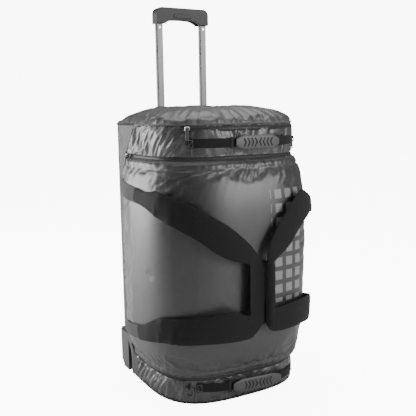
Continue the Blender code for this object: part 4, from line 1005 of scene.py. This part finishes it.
# Painted shade: near-black stands for the shadow inside the pad's chevron hollows.
chevron_shade_paint = Paint("chevron_painted_shade", 0.008, 0.8)
chevron_shade_paint.feed("Roughness", chevron_shade_paint.mottle(0.006, 0.014, 300.0) * 0.2 + 0.7)


def end_handle(word, heights, start, grip_start, grip_end, end):
    low_z, high_z = heights
    flat, bowed = 0.0042, 0.0125
    middle = (grip_start + grip_end) / 2

    def level(girth):
        return low_z + (high_z - low_z) * (girth - start) / (end - start)

    line = [(start, level(start), flat), (start + 0.02, level(start + 0.02), flat + 0.0004),
            (grip_start, level(grip_start), bowed - 0.002), (middle, level(middle), bowed),
            (grip_end, level(grip_end), bowed - 0.002), (end - 0.02, level(end - 0.02), flat + 0.0004),
            (end, level(end), flat)]
    web(f"{word}_end_webbing", flat_path([(*spot, 0.022) for spot in line], 10), 0.0028,
        web_paint, "bag", [f"{word}_handle_webbing"])
    pad = []
    for share in spread(0, 1, 40):
        girth = grip_start + (grip_end - grip_start) * share
        end_share = min(share, 1 - share)
        width = 0.034 * (0.45 + 0.55 * min(end_share / 0.18, 1.0) ** 0.7)
        pad.append((girth, level(girth), bowed + 0.0050, width))
    web(f"{word}_end_pad", pad, 0.0050, pad_paint, "bag", [f"{word}_handle_pad"],
        lambda across, share: 0.0012 * (1 - across * across), 26, 0.4)
    # painted shade of the hollows: four near-black chevrons each way that meet in the middle, laid flat on
    # the pad
    arrows = []
    spacing = 0.0125
    tip_reach, arm = 0.0070, 0.0098
    for side in (-1, 1):
        for place in range(4):
            tip = middle + side * (0.004 + place * spacing)
            for up in (-1, 1):
                steps = 7
                for step in range(steps):
                    share = (step + 0.5) / steps
                    girth = tip + side * tip_reach * share
                    spot = (girth, level(girth) + up * arm * share)
                    run = Vector((side * tip_reach, up * arm)).normalized()
                    arrows.append((spot[0], spot[1], bowed + 0.0080 + 0.0011 * (1 - share * 0.6), run))
    blocks(f"{word}_pad_chevron_shade", skin_frames(arrows), (0.0022, 0.0034, 0.0010), chevron_shade_paint,
           "bag", 0.9)
    loop = [(grip_start - 0.008, level(grip_start) + rise, 0.0115, 0.010)
            for rise in spread(-0.014, 0.014, 8)]
    web(f"{word}_pad_keeper", loop, 0.0034, binding_paint, "bag")
    for name, left in (("start", start + 0.003), ("end", end - 0.015)):
        corners = [(left, level(left) - 0.008), (left + 0.012, level(left) - 0.008),
                   (left + 0.012, level(left) + 0.008), (left, level(left) + 0.008),
                   (left, level(left) - 0.008), (left + 0.012, level(left) + 0.008)]
        stitches(f"{word}_{name}_tack", [(girth, z, flat + 0.0022) for girth, z in corners], "bag",
                 0.003)


end_handle("top", (0.657, 0.657), -0.178, -0.044, 0.102, 0.200)
end_handle("bottom", (0.052, 0.036), -0.165, -0.060, 0.112, 0.200)
dress(web_paint, "top_ring_tab", "bottom_ring_tab")
dress(steel_paint, "top_ring")
dress(puller_paint, "bottom_ring")


# ---- Pull-out handle ----
# Two satin aluminium tubes slide in guides behind the board. The dark moulded grip on top
# has a cover and a rubber release button.
tube_paint = Paint("tube", 0.42, 0.30, Metallic=1.0)
brushed = tube_paint.cloud(tube_paint.place(scale=(1, 1, 0.02)), 900.0, 3.0)
tube_paint.feed("Base Color", tube_paint.blend(brushed, 0.055, 0.10))
tube_paint.feed("Roughness", brushed * 0.2 + 0.26)
tube_paint.bump(brushed, 0.05, 0.0003)
dress(tube_paint, "near_handle_tube", "far_handle_tube", "near_guide_tube", "far_guide_tube")
grip_paint = Paint("grip_moulding", 0.02, 0.32, Specular_IOR_Level=0.2)
grip_grain = grip_paint.cloud(grip_paint.place(), 800.0, 2.0)
grip_paint.mottle(0.012, 0.024, 35.0, 4.0)
grip_paint.feed("Roughness", grip_grain * 0.12 + 0.34)
grip_paint.bump(grip_grain, 0.08, 0.0003)
dress(grip_paint, "handle_grip", "grip_cover")
dress(rubber_paint, "release_button")
